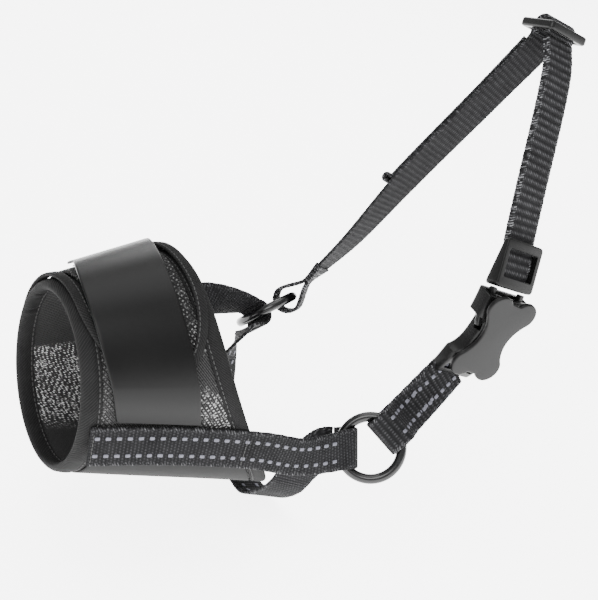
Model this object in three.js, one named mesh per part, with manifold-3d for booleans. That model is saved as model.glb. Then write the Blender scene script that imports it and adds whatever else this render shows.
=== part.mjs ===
// A soft fabric dog muzzle, size L: a mesh snout sleeve with bound edges, a wide
// hook-and-loop closure strap, webbing side and throat straps that turn round two
// rings, and a neck strap with a contoured side-release buckle and an adjuster slide.
// Millimetres, +Z up, +X toward the dog's head, the dog's right side at -Y.
// The origin is the middle of the snout sleeve.

import * as THREE from 'three';
import { mergeVertices } from 'three/addons/utils/BufferGeometryUtils.js';
import Module from 'manifold-3d';

// ---------------------------------------------------------------- dimensions

const GAP = 0.3;                       // clearance between touching pieces
const WEBBING = 20;                    // width of all the webbing
const PLY = 1.7;                       // thickness of one layer of webbing
const DOUBLE_PLY = 3.4;                // two layers sewn together

const FRONT_X = -54.4;                 // front edge of the sleeve
const FRONT = { halfWidth: 35, halfHeight: 44.5, centreY: 4.6, centreZ: -3.75 };
const REAR = { halfWidth: 49, halfHeight: 62.5, centreY: 0, centreZ: -10 };
const REAR_X = 20;                     // rear edge of the sleeve at mid height
const REAR_SLANT = 0.44;               // the rear edge runs forward as it rises
const REAR_SWEEP = 0.22;               // and curves back at its top and bottom
const SLEEVE_WALL = 2.2;               // padded mesh
const BINDING_WIDTH = 8;
const BINDING_WALL = 4.6;

const RING_RADIUS = 15.5;              // to the middle of the wire
const RING_WIRE = 2.5;
const FOLD_RADIUS = 6.5;               // webbing turning round a ring wire
const FOLD_SHIFT = 1.8;                // the turn sits this far inside the wire
const LOOP_SLACK = 0.4;                // the neck loops turn this much wider, so they can swing

const BONE = { length: 48, width: 32.4, lobe: 7.4, thickness: 2.2 };
const SOCKET = { halfWidth: 15.8, waist: 9.6, thickness: 10.4, arc: 78, depth: 8.2 };
const PLUG = { width: 27, length: 24.6, tip: 3, root: 9, tilt: 25 };
const PRONG = { width: 3.2, thickness: 3, length: 19.5, reach: 13.3, root: 2.5 };
const RELEASE_TILT = 14;               // the plug draws out on this line, degrees

const CLOSURE = { inset: 5.6, width: 39.5, wall: 1.3, tape: 0.45, lowLift: 1.9, end: 118 };
const SLIDE = { width: 28, length: 23, thickness: 4.6, bar: 3.4, slot: 6.9 };

const vec = (x, y, z) => new THREE.Vector3(x, y, z);
const along = (point, direction, distance) => point.clone().addScaledVector(direction, distance);
const radians = THREE.MathUtils.degToRad;

// Near and far rings: middle, axis, and where the two straps turn round the wire.
const NEAR_RING = { centre: vec(94, -56, -38), axis: vec(-0.537, -0.739, 0.407).normalize() };
const FAR_RING = { centre: vec(98, 55, -13), axis: vec(-0.262, 0.605, 0.752).normalize() };

// The bone plate's outer face, and the frame that the whole buckle is drawn in:
// x across the webbing, y along the strap, z outward.
const BUCKLE = { centre: vec(157, -62, 14.7), x: vec(0.937, -0.003, -0.348), y: vec(0.338, -0.196, 0.919) };

// The adjuster slide: x across the webbing, y toward the far strap, z up.
const SLIDE_PLACE = { centre: vec(215, 0, 153.5), x: vec(0.92, -0.03, -0.39), y: vec(-0.052, 0.978, -0.191) };

const model = new THREE.Group();

// ------------------------------------------------------------------ materials

function material(colour, roughness, metalness = 0) {
  return () => new THREE.MeshStandardMaterial({ color: colour, roughness, metalness });
}

const meshFabric = material(0x2b2b2d, 0.9);
const twill = material(0x3b3b3d, 0.85);
const satin = material(0x232324, 0.4);
const webbing = material(0x1f1f21, 0.8);
const hookTape = material(0x18181a, 0.95);
const metal = material(0x0c0c0e, 0.25, 0.9);
const plastic = material(0x3a3a3b, 0.45);

function addPiece(name, geometry, makeMaterial, parent = model) {
  const mesh = new THREE.Mesh(geometry, makeMaterial());
  mesh.name = name;
  parent.add(mesh);
  return mesh;
}

// ------------------------------------------------------------ boolean helpers

const manifold = await Module();
manifold.setup();

function toSolid(geometry) {
  const plain = geometry.index ? geometry.toNonIndexed() : geometry.clone();
  plain.deleteAttribute('normal');
  plain.deleteAttribute('uv');
  const merged = mergeVertices(plain, 1e-4);
  return new manifold.Manifold(new manifold.Mesh({
    numProp: 3,
    vertProperties: new Float32Array(merged.attributes.position.array),
    triVerts: new Uint32Array(merged.index.array),
  }));
}

function toGeometry(solid) {
  const mesh = solid.getMesh();
  const geometry = new THREE.BufferGeometry();
  geometry.setAttribute('position', new THREE.BufferAttribute(mesh.vertProperties, 3));
  geometry.setIndex(new THREE.BufferAttribute(mesh.triVerts, 1));
  return geometry;
}

function box(width, length, height, x, y, z) {
  return new THREE.BoxGeometry(width, length, height).translate(x, y, z);
}

// A plate drawn in x and y, from z = low to z = high.
function plate(shape, low, high, curveSegments = 8) {
  const options = { depth: high - low, bevelEnabled: false, curveSegments };
  return new THREE.ExtrudeGeometry(shape, options).translate(0, 0, low);
}

// A side profile drawn in y (along the strap) and z, made wide in x.
function profile(shape, halfWidth, curveSegments = 8) {
  const options = { depth: 2 * halfWidth, bevelEnabled: false, curveSegments };
  const geometry = new THREE.ExtrudeGeometry(shape, options).translate(0, 0, -halfWidth);
  const cycle = new THREE.Matrix4().makeBasis(vec(0, 1, 0), vec(0, 0, 1), vec(1, 0, 0));
  return geometry.applyMatrix4(cycle);
}

function roundedRectangle(halfWidth, halfLength, radius, y = 0) {
  const shape = new THREE.Shape();
  shape.moveTo(-halfWidth + radius, y - halfLength);
  shape.lineTo(halfWidth - radius, y - halfLength);
  shape.absarc(halfWidth - radius, y - halfLength + radius, radius, -Math.PI / 2, 0);
  shape.lineTo(halfWidth, y + halfLength - radius);
  shape.absarc(halfWidth - radius, y + halfLength - radius, radius, 0, Math.PI / 2);
  shape.lineTo(-halfWidth + radius, y + halfLength);
  shape.absarc(-halfWidth + radius, y + halfLength - radius, radius, Math.PI / 2, Math.PI);
  shape.lineTo(-halfWidth, y - halfLength + radius);
  shape.absarc(-halfWidth + radius, y - halfLength + radius, radius, Math.PI, 1.5 * Math.PI);
  return shape;
}

// --------------------------------------------------------------- snout sleeve

// A point of the sleeve. u runs from the front edge (0) to the rear edge (1); the
// angle is 0 at the dog's right side and 90 degrees on top; lift is outward from
// the middle of the wall.
function sleevePoint(u, angle, lift) {
  const halfWidth = THREE.MathUtils.lerp(FRONT.halfWidth, REAR.halfWidth, u);
  const halfHeight = THREE.MathUtils.lerp(FRONT.halfHeight, REAR.halfHeight, u);
  const centreY = THREE.MathUtils.lerp(FRONT.centreY, REAR.centreY, u);
  const centreZ = THREE.MathUtils.lerp(FRONT.centreZ, REAR.centreZ, u);
  const rise = REAR.halfHeight * Math.sin(angle);
  const rearX = REAR_X - REAR_SLANT * rise + REAR_SWEEP * rise * rise / REAR.halfHeight;
  const normal = vec(0, -Math.cos(angle) / halfWidth, Math.sin(angle) / halfHeight).normalize();
  const x = THREE.MathUtils.lerp(FRONT_X, rearX, u);
  const y = centreY - halfWidth * Math.cos(angle);
  const point = vec(x, y, centreZ + halfHeight * Math.sin(angle));
  return point.addScaledVector(normal, lift);
}

// The share of the sleeve's length that a distance in millimetres makes at one angle.
function shareOf(distance, angle) {
  return distance / (sleevePoint(1, angle, 0).x - FRONT_X);
}

// A closed ring on the sleeve. The section is a list of [lift, distance] pairs, the
// distance in millimetres from the front edge (edge 0) or the rear edge (edge 1).
function sleeveRing(section, segments) {
  const base = 100;
  const outline = section.map(([lift, u]) => new THREE.Vector2(base + lift, u.share));
  outline.push(outline[0].clone());
  const geometry = new THREE.LatheGeometry(outline, segments);
  const position = geometry.attributes.position;
  const columns = section.length + 1;
  for (let i = 0; i < position.count; i += 1) {
    const angle = 2 * Math.PI * Math.floor(i / columns) / segments;
    const [lift, place] = section[i % columns % section.length];
    const u = place.share + shareOf(place.inset, angle);
    const point = sleevePoint(u, angle, lift);
    position.setXYZ(i, point.x, point.y, point.z);
  }
  return geometry;
}

const fromFront = (inset) => ({ share: 0, inset });
const fromRear = (inset) => ({ share: 1, inset: -inset });

function addSleeve() {
  const half = SLEEVE_WALL / 2;
  const wall = [
    [half, fromFront(1.6)],
    [-half, fromFront(1.6)],
    [-half, { share: 0.5, inset: 0 }],
    [-half, fromRear(1.6)],
    [half, fromRear(1.6)],
    [half, { share: 0.5, inset: 0 }],
  ];
  addPiece('snout_sleeve', sleeveRing(wall, 48), meshFabric);
}

// The rolled binding is a channel that the sleeve's edge sits in.
function addBinding(name, from) {
  const outside = BINDING_WALL / 2;
  const inside = SLEEVE_WALL / 2 + GAP;
  const section = [
    [outside, from(BINDING_WIDTH)],
    [outside, from(0.2)],
    [outside * 0.6, from(-0.9)],
    [-outside * 0.6, from(-0.9)],
    [-outside, from(0.2)],
    [-outside, from(BINDING_WIDTH)],
    [-inside, from(BINDING_WIDTH)],
    [-inside, from(1.2)],
    [inside, from(1.2)],
    [inside, from(BINDING_WIDTH)],
  ];
  if (from === fromRear) {
    section.reverse();
  }
  addPiece(name, sleeveRing(section, 48), twill);
}

// A panel lying on the sleeve: a slab bent over it, between two angles, whose front
// and rear edges may change with the angle.
function sleevePanel({ angles, edges, lift, thickness, across = 6, round = 16 }) {
  const geometry = new THREE.BoxGeometry(1, 1, 1, across, round, 1);
  const position = geometry.attributes.position;
  for (let i = 0; i < position.count; i += 1) {
    const angle = radians(THREE.MathUtils.lerp(angles[0], angles[1], position.getY(i) + 0.5));
    const [front, rear] = edges(angle);
    const u = THREE.MathUtils.lerp(front, rear, position.getX(i) + 0.5);
    const height = lift(angle) + thickness * (position.getZ(i) + 0.5);
    const point = sleevePoint(u, angle, height);
    position.setXYZ(i, point.x, point.y, point.z);
  }
  return geometry;
}

const PANEL_LIFT = SLEEVE_WALL / 2 + GAP;
const PANEL_WALL = 0.9;
const FLAP_LIFT = 2.9;
const FLAP_WALL = 1.5;
const TAPE_LIFT = FLAP_LIFT + FLAP_WALL + 0.35;
const TOP_LIFT = TAPE_LIFT + 2 * CLOSURE.tape + 0.7;

function addChinPanel() {
  const geometry = sleevePanel({
    angles: [-148, -32],
    edges: (angle) => [shareOf(BINDING_WIDTH + 1, angle), 1 - shareOf(BINDING_WIDTH + 1, angle)],
    lift: () => PANEL_LIFT,
    thickness: PANEL_WALL,
  });
  addPiece('chin_panel', geometry, meshFabric);
}

// The flap comes up from the left side, over the bridge of the nose, and ends in a
// round tongue under the closure strap on the right side.
const FLAP = { start: 172, end: 20, middle: 0.5, halfShare: 0.43, roundFrom: 66, binding: 6 };

function flapHalfShare(angle) {
  const degrees = THREE.MathUtils.radToDeg(angle);
  const into = Math.max(0, (FLAP.roundFrom - degrees) / (FLAP.roundFrom - FLAP.end));
  return FLAP.halfShare * Math.sqrt(Math.max(0, 1 - into * into));
}

function addTopFlap() {
  const inner = (angle) => Math.max(0.02, flapHalfShare(angle) - shareOf(FLAP.binding * 0.84, angle));
  const geometry = sleevePanel({
    angles: [FLAP.end + 7, FLAP.start],
    edges: (angle) => [FLAP.middle - inner(angle), FLAP.middle + inner(angle)],
    lift: () => FLAP_LIFT,
    thickness: FLAP_WALL,
    round: 20,
  });
  addPiece('top_flap', geometry, meshFabric);
}

// ------------------------------------------------------------------- webbing

// A flat band along a smooth curve. Each control point has the direction that the
// band's width takes there. start and end are shares of the curve.
function band({ points, widths, width, thickness, steps, start = 0, end = 1 }) {
  const curve = new THREE.CatmullRomCurve3(points, false, 'centripetal');
  const geometry = new THREE.BoxGeometry(width, 1, thickness, 1, steps, 1);
  const position = geometry.attributes.position;
  for (let i = 0; i < position.count; i += 1) {
    const t = THREE.MathUtils.lerp(start, end, position.getY(i) + 0.5);
    const place = t * (points.length - 1);
    const index = Math.min(Math.floor(place), points.length - 2);
    const forward = curve.getTangent(t);
    const sideways = widths[index].clone().lerp(widths[index + 1], place - index);
    sideways.addScaledVector(forward, -sideways.dot(forward)).normalize();
    const outward = sideways.clone().cross(forward);
    const point = along(curve.getPoint(t), sideways, position.getX(i));
    point.addScaledVector(outward, position.getZ(i));
    position.setXYZ(i, point.x, point.y, point.z);
  }
  return geometry;
}

// Points of a strap turning round a wire: it arrives in the given direction, passes
// on the outward side and leaves on the other side.
function turn(contact, tangent, arrival, radius, sweep, count) {
  const forward = arrival.clone().addScaledVector(tangent, -arrival.dot(tangent)).normalize();
  const outward = tangent.clone().cross(forward);
  const points = [];
  for (let i = 0; i <= count; i += 1) {
    const angle = radians(sweep) * i / count;
    const point = along(contact, outward, radius * Math.cos(angle));
    points.push(point.addScaledVector(forward, radius * Math.sin(angle)));
  }
  return points;
}

function fill(value, count) {
  return Array.from({ length: count }, () => value);
}

// Where a strap turns round a ring: the point of the wire that faces the given
// direction, moved a little toward the ring's middle, and the wire's own direction.
function ringTurn(ring, direction) {
  const facing = direction.clone().addScaledVector(ring.axis, -direction.dot(ring.axis)).normalize();
  return {
    contact: along(ring.centre, facing, RING_RADIUS - FOLD_SHIFT),
    tangent: facing.clone().cross(ring.axis).normalize(),
  };
}

// The side webbing, the near ring turn, the throat strap, the far ring turn and the
// other side's webbing are one length of webbing, sewn to the sleeve at both sides.
const NEAR_SIDE_TURN = { ...ringTurn(NEAR_RING, vec(-0.834, 0.536, -0.127)), arrival: vec(1, 0.08, -0.1) };
const FAR_SIDE_TURN = { ...ringTurn(FAR_RING, vec(-0.946, -0.312, -0.078)), arrival: vec(1, 0, -0.25) };
const UP = vec(0, 0, 1);

function nearSidePoints() {
  const lift = SLEEVE_WALL / 2 + BINDING_WALL / 2 + PLY / 2;
  return [
    vec(-52, -30 - lift, -20.5),
    vec(-12, -39.4 - lift, -23),
    vec(29, -48.6 - lift, -28.5),
    vec(54, -54.5, -36),
  ];
}

function farSidePoints() {
  const lift = SLEEVE_WALL / 2 + BINDING_WALL / 2 + PLY / 2;
  return [
    vec(-50, 39.1 + lift, -16),
    vec(-12, 43.6 + lift, -16),
    vec(27, 49.4 + lift, -9),
    vec(53, 54.5, -1),
  ];
}

const THROAT = {
  near: [vec(69, -36.5, -54), vec(65, -27, -72)],
  middle: vec(64, -4, -86),
  far: [vec(64, 25, -74), vec(67, 42, -40)],
  widths: [vec(-0.55, 0.1, 0.8), vec(-0.85, 0, 0.5), vec(-0.95, 0, 0.2), vec(-0.85, 0, 0.4), vec(-0.6, -0.1, 0.8)],
};

function upward(direction) {
  return direction.z < 0 ? direction.clone().negate() : direction.clone();
}

function addSideStrap(name, points, place, outwardSign) {
  const tangent = upward(place.tangent).multiplyScalar(outwardSign);
  const fold = turn(place.contact, tangent, place.arrival, FOLD_RADIUS, 180, 6);
  const width = upward(place.tangent);
  const lead = along(fold.at(-1), fold.at(-1).clone().sub(fold.at(-2)).normalize(), 6);
  addPiece(name, band({
    points: [...points, ...fold],
    widths: [...fill(UP, points.length), ...fill(width, fold.length)],
    width: WEBBING,
    thickness: PLY,
    steps: 40,
  }), webbing);
  return { fold, lead, width };
}

function addSideWebbing() {
  const near = addSideStrap('near_side_strap', nearSidePoints(), NEAR_SIDE_TURN, -1);
  const far = addSideStrap('far_side_strap', farSidePoints(), FAR_SIDE_TURN, 1);
  const points = [
    ...near.fold.slice(-2),
    near.lead,
    ...THROAT.near,
    THROAT.middle,
    ...THROAT.far,
    far.lead,
    ...far.fold.slice(-2).reverse(),
  ];
  const last = points.length - 1;
  addPiece('throat_strap', band({
    points,
    widths: [...fill(near.width, 3), ...THROAT.widths, ...fill(far.width, 3)],
    width: WEBBING,
    thickness: PLY,
    steps: 34,
    start: 1.4 / last,
    end: 1 - 1.4 / last,
  }), webbing);
}

// A bound edge on the flap: a band that follows the flap's outline.
function addFlapBinding() {
  const points = [];
  const outwards = [];
  const lift = FLAP_LIFT + FLAP_WALL / 2 + 0.65;
  const add = (u, angle) => {
    const point = sleevePoint(u, angle, lift);
    points.push(point);
    outwards.push(sleevePoint(u, angle, lift + 1).sub(point));
  };
  const steps = 9;
  const straight = (i) => radians(THREE.MathUtils.lerp(FLAP.start - 2, FLAP.roundFrom, i / steps));
  for (let i = 0; i <= steps; i += 1) {
    add(FLAP.middle - FLAP.halfShare, straight(i));
  }
  for (let i = 1; i < 12; i += 1) {
    const turnAngle = Math.PI * i / 12;
    const degrees = FLAP.roundFrom - (FLAP.roundFrom - FLAP.end) * Math.sin(turnAngle);
    add(FLAP.middle - FLAP.halfShare * Math.cos(turnAngle), radians(degrees));
  }
  for (let i = steps; i >= 0; i -= 1) {
    add(FLAP.middle + FLAP.halfShare, straight(i));
  }
  const widths = points.map((point, i) => {
    const forward = points[Math.min(i + 1, points.length - 1)].clone().sub(points[Math.max(i - 1, 0)]);
    return forward.normalize().cross(outwards[i]).normalize();
  });
  addPiece('flap_binding', band({
    points,
    widths,
    width: FLAP.binding - 0.6,
    thickness: 2,
    steps: 64,
  }), twill);
}

// The closure strap runs straight over the curved sleeve, so it is nearest to the
// sleeve's front edge half way up the right side.
function closureInset(angle) {
  const degrees = THREE.MathUtils.radToDeg(angle);
  const below = Math.max(0, (58 - degrees) / 61);
  const above = Math.max(0, (Math.min(degrees, 110) - 58) / 43);
  return CLOSURE.inset + 8.6 * below * below + 6.6 * above * above;
}

function addClosureStrap() {
  const lift = (angle) => {
    const rise = THREE.MathUtils.smoothstep(angle, radians(-5), radians(17));
    return THREE.MathUtils.lerp(CLOSURE.lowLift, TOP_LIFT, rise);
  };
  const front = (angle) => shareOf(closureInset(angle), angle);
  const rear = (angle) => shareOf(closureInset(angle) + CLOSURE.width, angle);
  addPiece('closure_strap', sleevePanel({
    angles: [-5, CLOSURE.end],
    edges: (angle) => [front(angle), rear(angle)],
    lift,
    thickness: CLOSURE.wall,
    round: 28,
  }), satin);
  addPiece('closure_hook_tape', sleevePanel({
    angles: [96, 113],
    edges: (angle) => [front(angle) + 0.06, rear(angle) - 0.06],
    lift: () => TOP_LIFT - 0.25 - CLOSURE.tape,
    thickness: CLOSURE.tape,
    round: 7,
  }), hookTape);
  addPiece('flap_loop_tape', sleevePanel({
    angles: [92, 118],
    edges: (angle) => [front(angle) + 0.04, rear(angle) - 0.08],
    lift: () => TAPE_LIFT,
    thickness: CLOSURE.tape,
    round: 9,
  }), hookTape);
}

// --------------------------------------------------------------------- rings

function addRing(name, ring) {
  const geometry = new THREE.TorusGeometry(RING_RADIUS, RING_WIRE, 10, 40);
  const mesh = addPiece(name, geometry, metal);
  mesh.quaternion.setFromUnitVectors(vec(0, 0, 1), ring.axis);
  mesh.position.copy(ring.centre);
}

// -------------------------------------------------------------------- buckle

function placedGroup({ centre, x, y }) {
  const across = x.clone().normalize();
  const forward = along(y, across, -y.dot(across)).normalize();
  const group = new THREE.Group();
  group.matrix.makeBasis(across, forward, across.clone().cross(forward)).setPosition(centre);
  group.matrix.decompose(group.position, group.quaternion, group.scale);
  return group;
}

function boneShape() {
  const shape = new THREE.Shape();
  const { length, width, lobe } = BONE;
  const x = width / 2 - lobe;
  const y = length / 2 - lobe;
  const waist = width * 0.29;
  shape.moveTo(0, y + lobe * 0.62);
  shape.absarc(x, y, lobe, radians(142), radians(-48), true);
  shape.quadraticCurveTo(waist, y * 0.35, waist, 0);
  shape.quadraticCurveTo(waist, -y * 0.35, x + lobe * 0.67, -y + lobe * 0.74);
  shape.absarc(x, -y, lobe, radians(48), radians(-142), true);
  shape.lineTo(0, -y - lobe * 0.62);
  shape.absarc(-x, -y, lobe, radians(-38), radians(-228), true);
  shape.quadraticCurveTo(-waist, -y * 0.35, -waist, 0);
  shape.quadraticCurveTo(-waist, y * 0.35, -x - lobe * 0.67, y - lobe * 0.74);
  shape.absarc(-x, y, lobe, radians(228), radians(38), true);
  return shape;
}

// The socket follows an arc that bows away from the dog's cheek.
function socketDepth(y) {
  return -SOCKET.depth - SOCKET.arc + Math.sqrt(SOCKET.arc * SOCKET.arc - y * y);
}

function socketProfile(low, high) {
  const shape = new THREE.Shape();
  const steps = 8;
  const half = SOCKET.thickness / 2;
  for (let i = 0; i <= steps; i += 1) {
    const y = THREE.MathUtils.lerp(low, high, i / steps);
    const thin = half - 1.4 * THREE.MathUtils.smoothstep(-y, 8, 28);
    shape[i === 0 ? 'moveTo' : 'lineTo'](y, socketDepth(y) + thin);
  }
  for (let i = steps; i >= 0; i -= 1) {
    const y = THREE.MathUtils.lerp(low, high, i / steps);
    const thin = half - 1.4 * THREE.MathUtils.smoothstep(-y, 8, 28);
    shape.lineTo(y, socketDepth(y) - thin);
  }
  return shape;
}

function socketPlan(low, high) {
  const shape = new THREE.Shape();
  const { halfWidth, waist } = SOCKET;
  shape.moveTo(-12.4, low);
  shape.lineTo(12.4, low);
  shape.quadraticCurveTo(14, -20, halfWidth - 2, -15);
  shape.quadraticCurveTo(waist, -12, waist, -5);
  shape.lineTo(waist, 5);
  shape.quadraticCurveTo(waist + 1, 7.5, halfWidth, 8.5);
  shape.lineTo(halfWidth, high - 1.5);
  shape.lineTo(halfWidth - 1.5, high);
  shape.lineTo(-halfWidth + 1.5, high);
  shape.lineTo(-halfWidth, high - 1.5);
  shape.lineTo(-halfWidth, 8.5);
  shape.quadraticCurveTo(-waist - 1, 7.5, -waist, 5);
  shape.lineTo(-waist, -5);
  shape.quadraticCurveTo(-waist, -12, -halfWidth + 2, -15);
  shape.quadraticCurveTo(-14, -20, -12.4, low);
  return shape;
}

function addSocket(group) {
  const low = -30;
  const high = 20.5;
  const body = toSolid(profile(socketProfile(low, high), 20));
  const outline = toSolid(plate(socketPlan(low, high), -40, 10, 6));
  const channel = box(2 * PRONG.reach + 1.6, 60, 4.6, 0, 30 - PRONG.length - 1, 0);
  channel.rotateX(radians(-RELEASE_TILT)).translate(0, high, socketDepth(high));
  const slot = box(21, 4.2, 30, 0, low + 5.6, socketDepth(low));
  const solid = body.intersect(outline).subtract(toSolid(channel)).subtract(toSolid(slot));
  addPiece('buckle_socket', toGeometry(solid), plastic, group);
}

function releaseFrame(group) {
  const frame = new THREE.Group();
  frame.position.set(0, 20.5, socketDepth(20.5));
  frame.rotation.x = radians(-RELEASE_TILT);
  group.add(frame);
  return frame;
}

function plugFrame(group) {
  const frame = new THREE.Group();
  frame.position.set(0, 23.6, socketDepth(20.5) - 1);
  frame.rotation.x = radians(-PLUG.tilt);
  group.add(frame);
  return frame;
}

function addPlug(frame) {
  const side = new THREE.Shape();
  side.moveTo(0, -PLUG.root / 2);
  side.lineTo(PLUG.length, 1.2);
  side.lineTo(PLUG.length, 1.2 + PLUG.tip);
  side.lineTo(0, PLUG.root / 2);
  const body = toSolid(profile(side, PLUG.width / 2));
  const outline = toSolid(plate(roundedRectangle(PLUG.width / 2, PLUG.length / 2, 2.5, PLUG.length / 2), -9, 9));
  const window = toSolid(plate(roundedRectangle(10.4, 7.4, 1.2, 12.6), -9, 9));
  addPiece('buckle_plug', toGeometry(body.intersect(outline).subtract(window)), plastic, frame);
}

function addProng(name, side, frame) {
  const shape = new THREE.Shape();
  const inner = side * 8.6;
  const outer = side * (8.6 + PRONG.width);
  shape.moveTo(inner, PRONG.root);
  shape.lineTo(inner, -PRONG.length + 1);
  shape.lineTo(side * 11, -PRONG.length + 1);
  shape.quadraticCurveTo(side * (PRONG.reach + 0.4), -14, outer, -9);
  shape.lineTo(outer, PRONG.root);
  const half = PRONG.thickness / 2;
  addPiece(name, plate(shape, -half, half), plastic, frame);
}

// ------------------------------------------------------------- neck webbing

function worldPoint(group, x, y, z) {
  model.updateMatrixWorld(true);
  return vec(x, y, z).applyMatrix4(group.matrixWorld);
}

function worldDirection(group, x, y, z) {
  return worldPoint(group, x, y, z).sub(worldPoint(group, 0, 0, 0)).normalize();
}

// A band sewn back on itself round a ring wire. Both of its ends lie together at the
// given end point, one on each side of it.
function addLoop(name, { contact, tangent, away, end, endWidth, endNormal }) {
  const back = away.clone().negate();
  const fold = turn(contact, tangent, back, FOLD_RADIUS + LOOP_SLACK, 180, 6);
  const outward = tangent.clone().cross(back).normalize();
  const layer = PLY / 2 + 0.2;
  const middle = along(contact, away, 13);
  const endOffset = endNormal.clone().multiplyScalar(Math.sign(endNormal.dot(outward)) * layer);
  const points = [
    end.clone().add(endOffset),
    along(middle, outward, layer),
    ...fold,
    along(middle, outward, -layer),
    end.clone().sub(endOffset),
  ];
  const side = endWidth.clone().multiplyScalar(Math.sign(endWidth.dot(tangent)));
  const widths = [side, tangent, ...fill(tangent, fold.length), tangent, side];
  addPiece(name, band({ points, widths, width: WEBBING, thickness: PLY, steps: 40 }), webbing);
}

function addTab(buckle) {
  const end = worldPoint(buckle, 0, -35.8, socketDepth(-30) - 0.8);
  const place = ringTurn(NEAR_RING, end.clone().sub(NEAR_RING.centre));
  addLoop('buckle_tab', {
    ...place,
    away: end.clone().sub(place.contact).normalize(),
    end,
    endWidth: worldDirection(buckle, 1, 0, 0),
    endNormal: worldDirection(buckle, 0, 0, 1),
  });
}

function slideFoldPoints(slide, radius) {
  const points = [worldPoint(slide, 0, -radius, -4)];
  for (let i = 0; i <= 6; i += 1) {
    const angle = Math.PI * i / 6;
    points.push(worldPoint(slide, 0, -radius * Math.cos(angle), radius * Math.sin(angle)));
  }
  points.push(worldPoint(slide, 0, radius, -4));
  return points;
}

const SLIDE_FOLD = (DOUBLE_PLY + SLIDE.bar) / 2 + 1.3;

function addNearNeckStrap(plug, slide) {
  const slideWidth = worldDirection(slide, 1, 0, 0);
  const plugWidth = worldDirection(plug, 1, 0, 0);
  const foldPoints = slideFoldPoints(slide, SLIDE_FOLD);
  addPiece('slide_fold', band({
    points: foldPoints,
    widths: fill(slideWidth, foldPoints.length),
    width: WEBBING,
    thickness: DOUBLE_PLY,
    steps: 16,
  }), webbing);
  addPiece('near_neck_strap', band({
    points: [
      worldPoint(slide, 0, -SLIDE_FOLD - 0.6, -4.9),
      worldPoint(slide, 0, -SLIDE_FOLD - 7, -20),
      worldPoint(plug, 0, 48, -3.6),
      worldPoint(plug, 0, PLUG.length, -2.1),
      worldPoint(plug, 0, 7, -2.1),
    ],
    widths: [slideWidth, slideWidth, plugWidth, plugWidth, plugWidth],
    width: WEBBING,
    thickness: DOUBLE_PLY,
    steps: 20,
  }), webbing);
}

const FAR_STRAP = {
  points: [vec(193, 12, 119), vec(158, 29, 66), vec(137, 40, 30)],
  widths: [vec(0.88, 0.05, -0.47), vec(0.832, 0.173, -0.527), vec(0.75, 0.4, -0.5)],
  endWidth: vec(0.72, 0.56, -0.42),
  tailShare: 0.52,
};

function addFarNeckStrap(slide) {
  const lowest = FAR_STRAP.points.at(-1);
  const place = ringTurn(FAR_RING, lowest.clone().sub(FAR_RING.centre));
  const away = lowest.clone().sub(place.contact).normalize();
  const end = along(place.contact, away, 25);
  const loopWidth = FAR_STRAP.endWidth;
  addLoop('far_ring_loop', {
    ...place,
    away,
    end,
    endWidth: loopWidth,
    endNormal: loopWidth.clone().cross(away).normalize(),
  });
  const points = [worldPoint(slide, 0, SLIDE_FOLD + 1.2, -6.2), ...FAR_STRAP.points, along(end, away, 1.4)];
  const widths = [worldDirection(slide, 1, 0, 0), ...FAR_STRAP.widths, loopWidth];
  addPiece('far_neck_strap', band({ points, widths, width: WEBBING, thickness: PLY, steps: 30 }), webbing);
  const last = points.length - 1;
  const lifted = points.map((point, i) => {
    const forward = points[Math.min(i + 1, last)].clone().sub(points[Math.max(i - 1, 0)]).normalize();
    return along(point, widths[i].clone().cross(forward).normalize(), PLY + 0.7);
  });
  addPiece('strap_tail', band({
    points: lifted,
    widths,
    width: WEBBING - 1,
    thickness: PLY,
    steps: 20,
    start: 0.03,
    end: FAR_STRAP.tailShare,
  }), webbing);
}

function addSlide(slide) {
  const shape = roundedRectangle(SLIDE.width / 2, SLIDE.length / 2, 2.4);
  const halfSlot = WEBBING / 2 + 0.6;
  for (const side of [-1, 1]) {
    const middle = side * (SLIDE.bar + SLIDE.slot) / 2;
    shape.holes.push(roundedRectangle(halfSlot, SLIDE.slot / 2, 0.8, middle));
  }
  addPiece('neck_slide', plate(shape, -SLIDE.thickness / 2, SLIDE.thickness / 2, 4), metal, slide);
}

// ------------------------------------------------------------------ assembly

addSleeve();
addBinding('front_binding', fromFront);
addBinding('rear_binding', fromRear);
addChinPanel();
addTopFlap();
addFlapBinding();
addClosureStrap();
addSideWebbing();
addRing('near_ring', NEAR_RING);
addRing('far_ring', FAR_RING);

const buckle = placedGroup(BUCKLE);
model.add(buckle);
addPiece('bone_plate', plate(boneShape(), -BONE.thickness, 0, 10), plastic, buckle);
addSocket(buckle);
const release = releaseFrame(buckle);
const plug = plugFrame(buckle);
addPlug(plug);
addProng('release_prong_left', -1, release);
addProng('release_prong_right', 1, release);

const slide = placedGroup(SLIDE_PLACE);
model.add(slide);
addSlide(slide);
addTab(buckle);
addNearNeckStrap(plug, slide);
addFarNeckStrap(slide);

export default model;
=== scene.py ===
"""Looks of the soft dog muzzle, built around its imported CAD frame.

Lengths are in millimetres until a mesh is made, which turns them into metres.
+X is toward the dog's head, the buckle side is -Y, +Z is up.
"""

import math

import bmesh
import bpy
import numpy as np
from mathutils import Matrix, Vector


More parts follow.
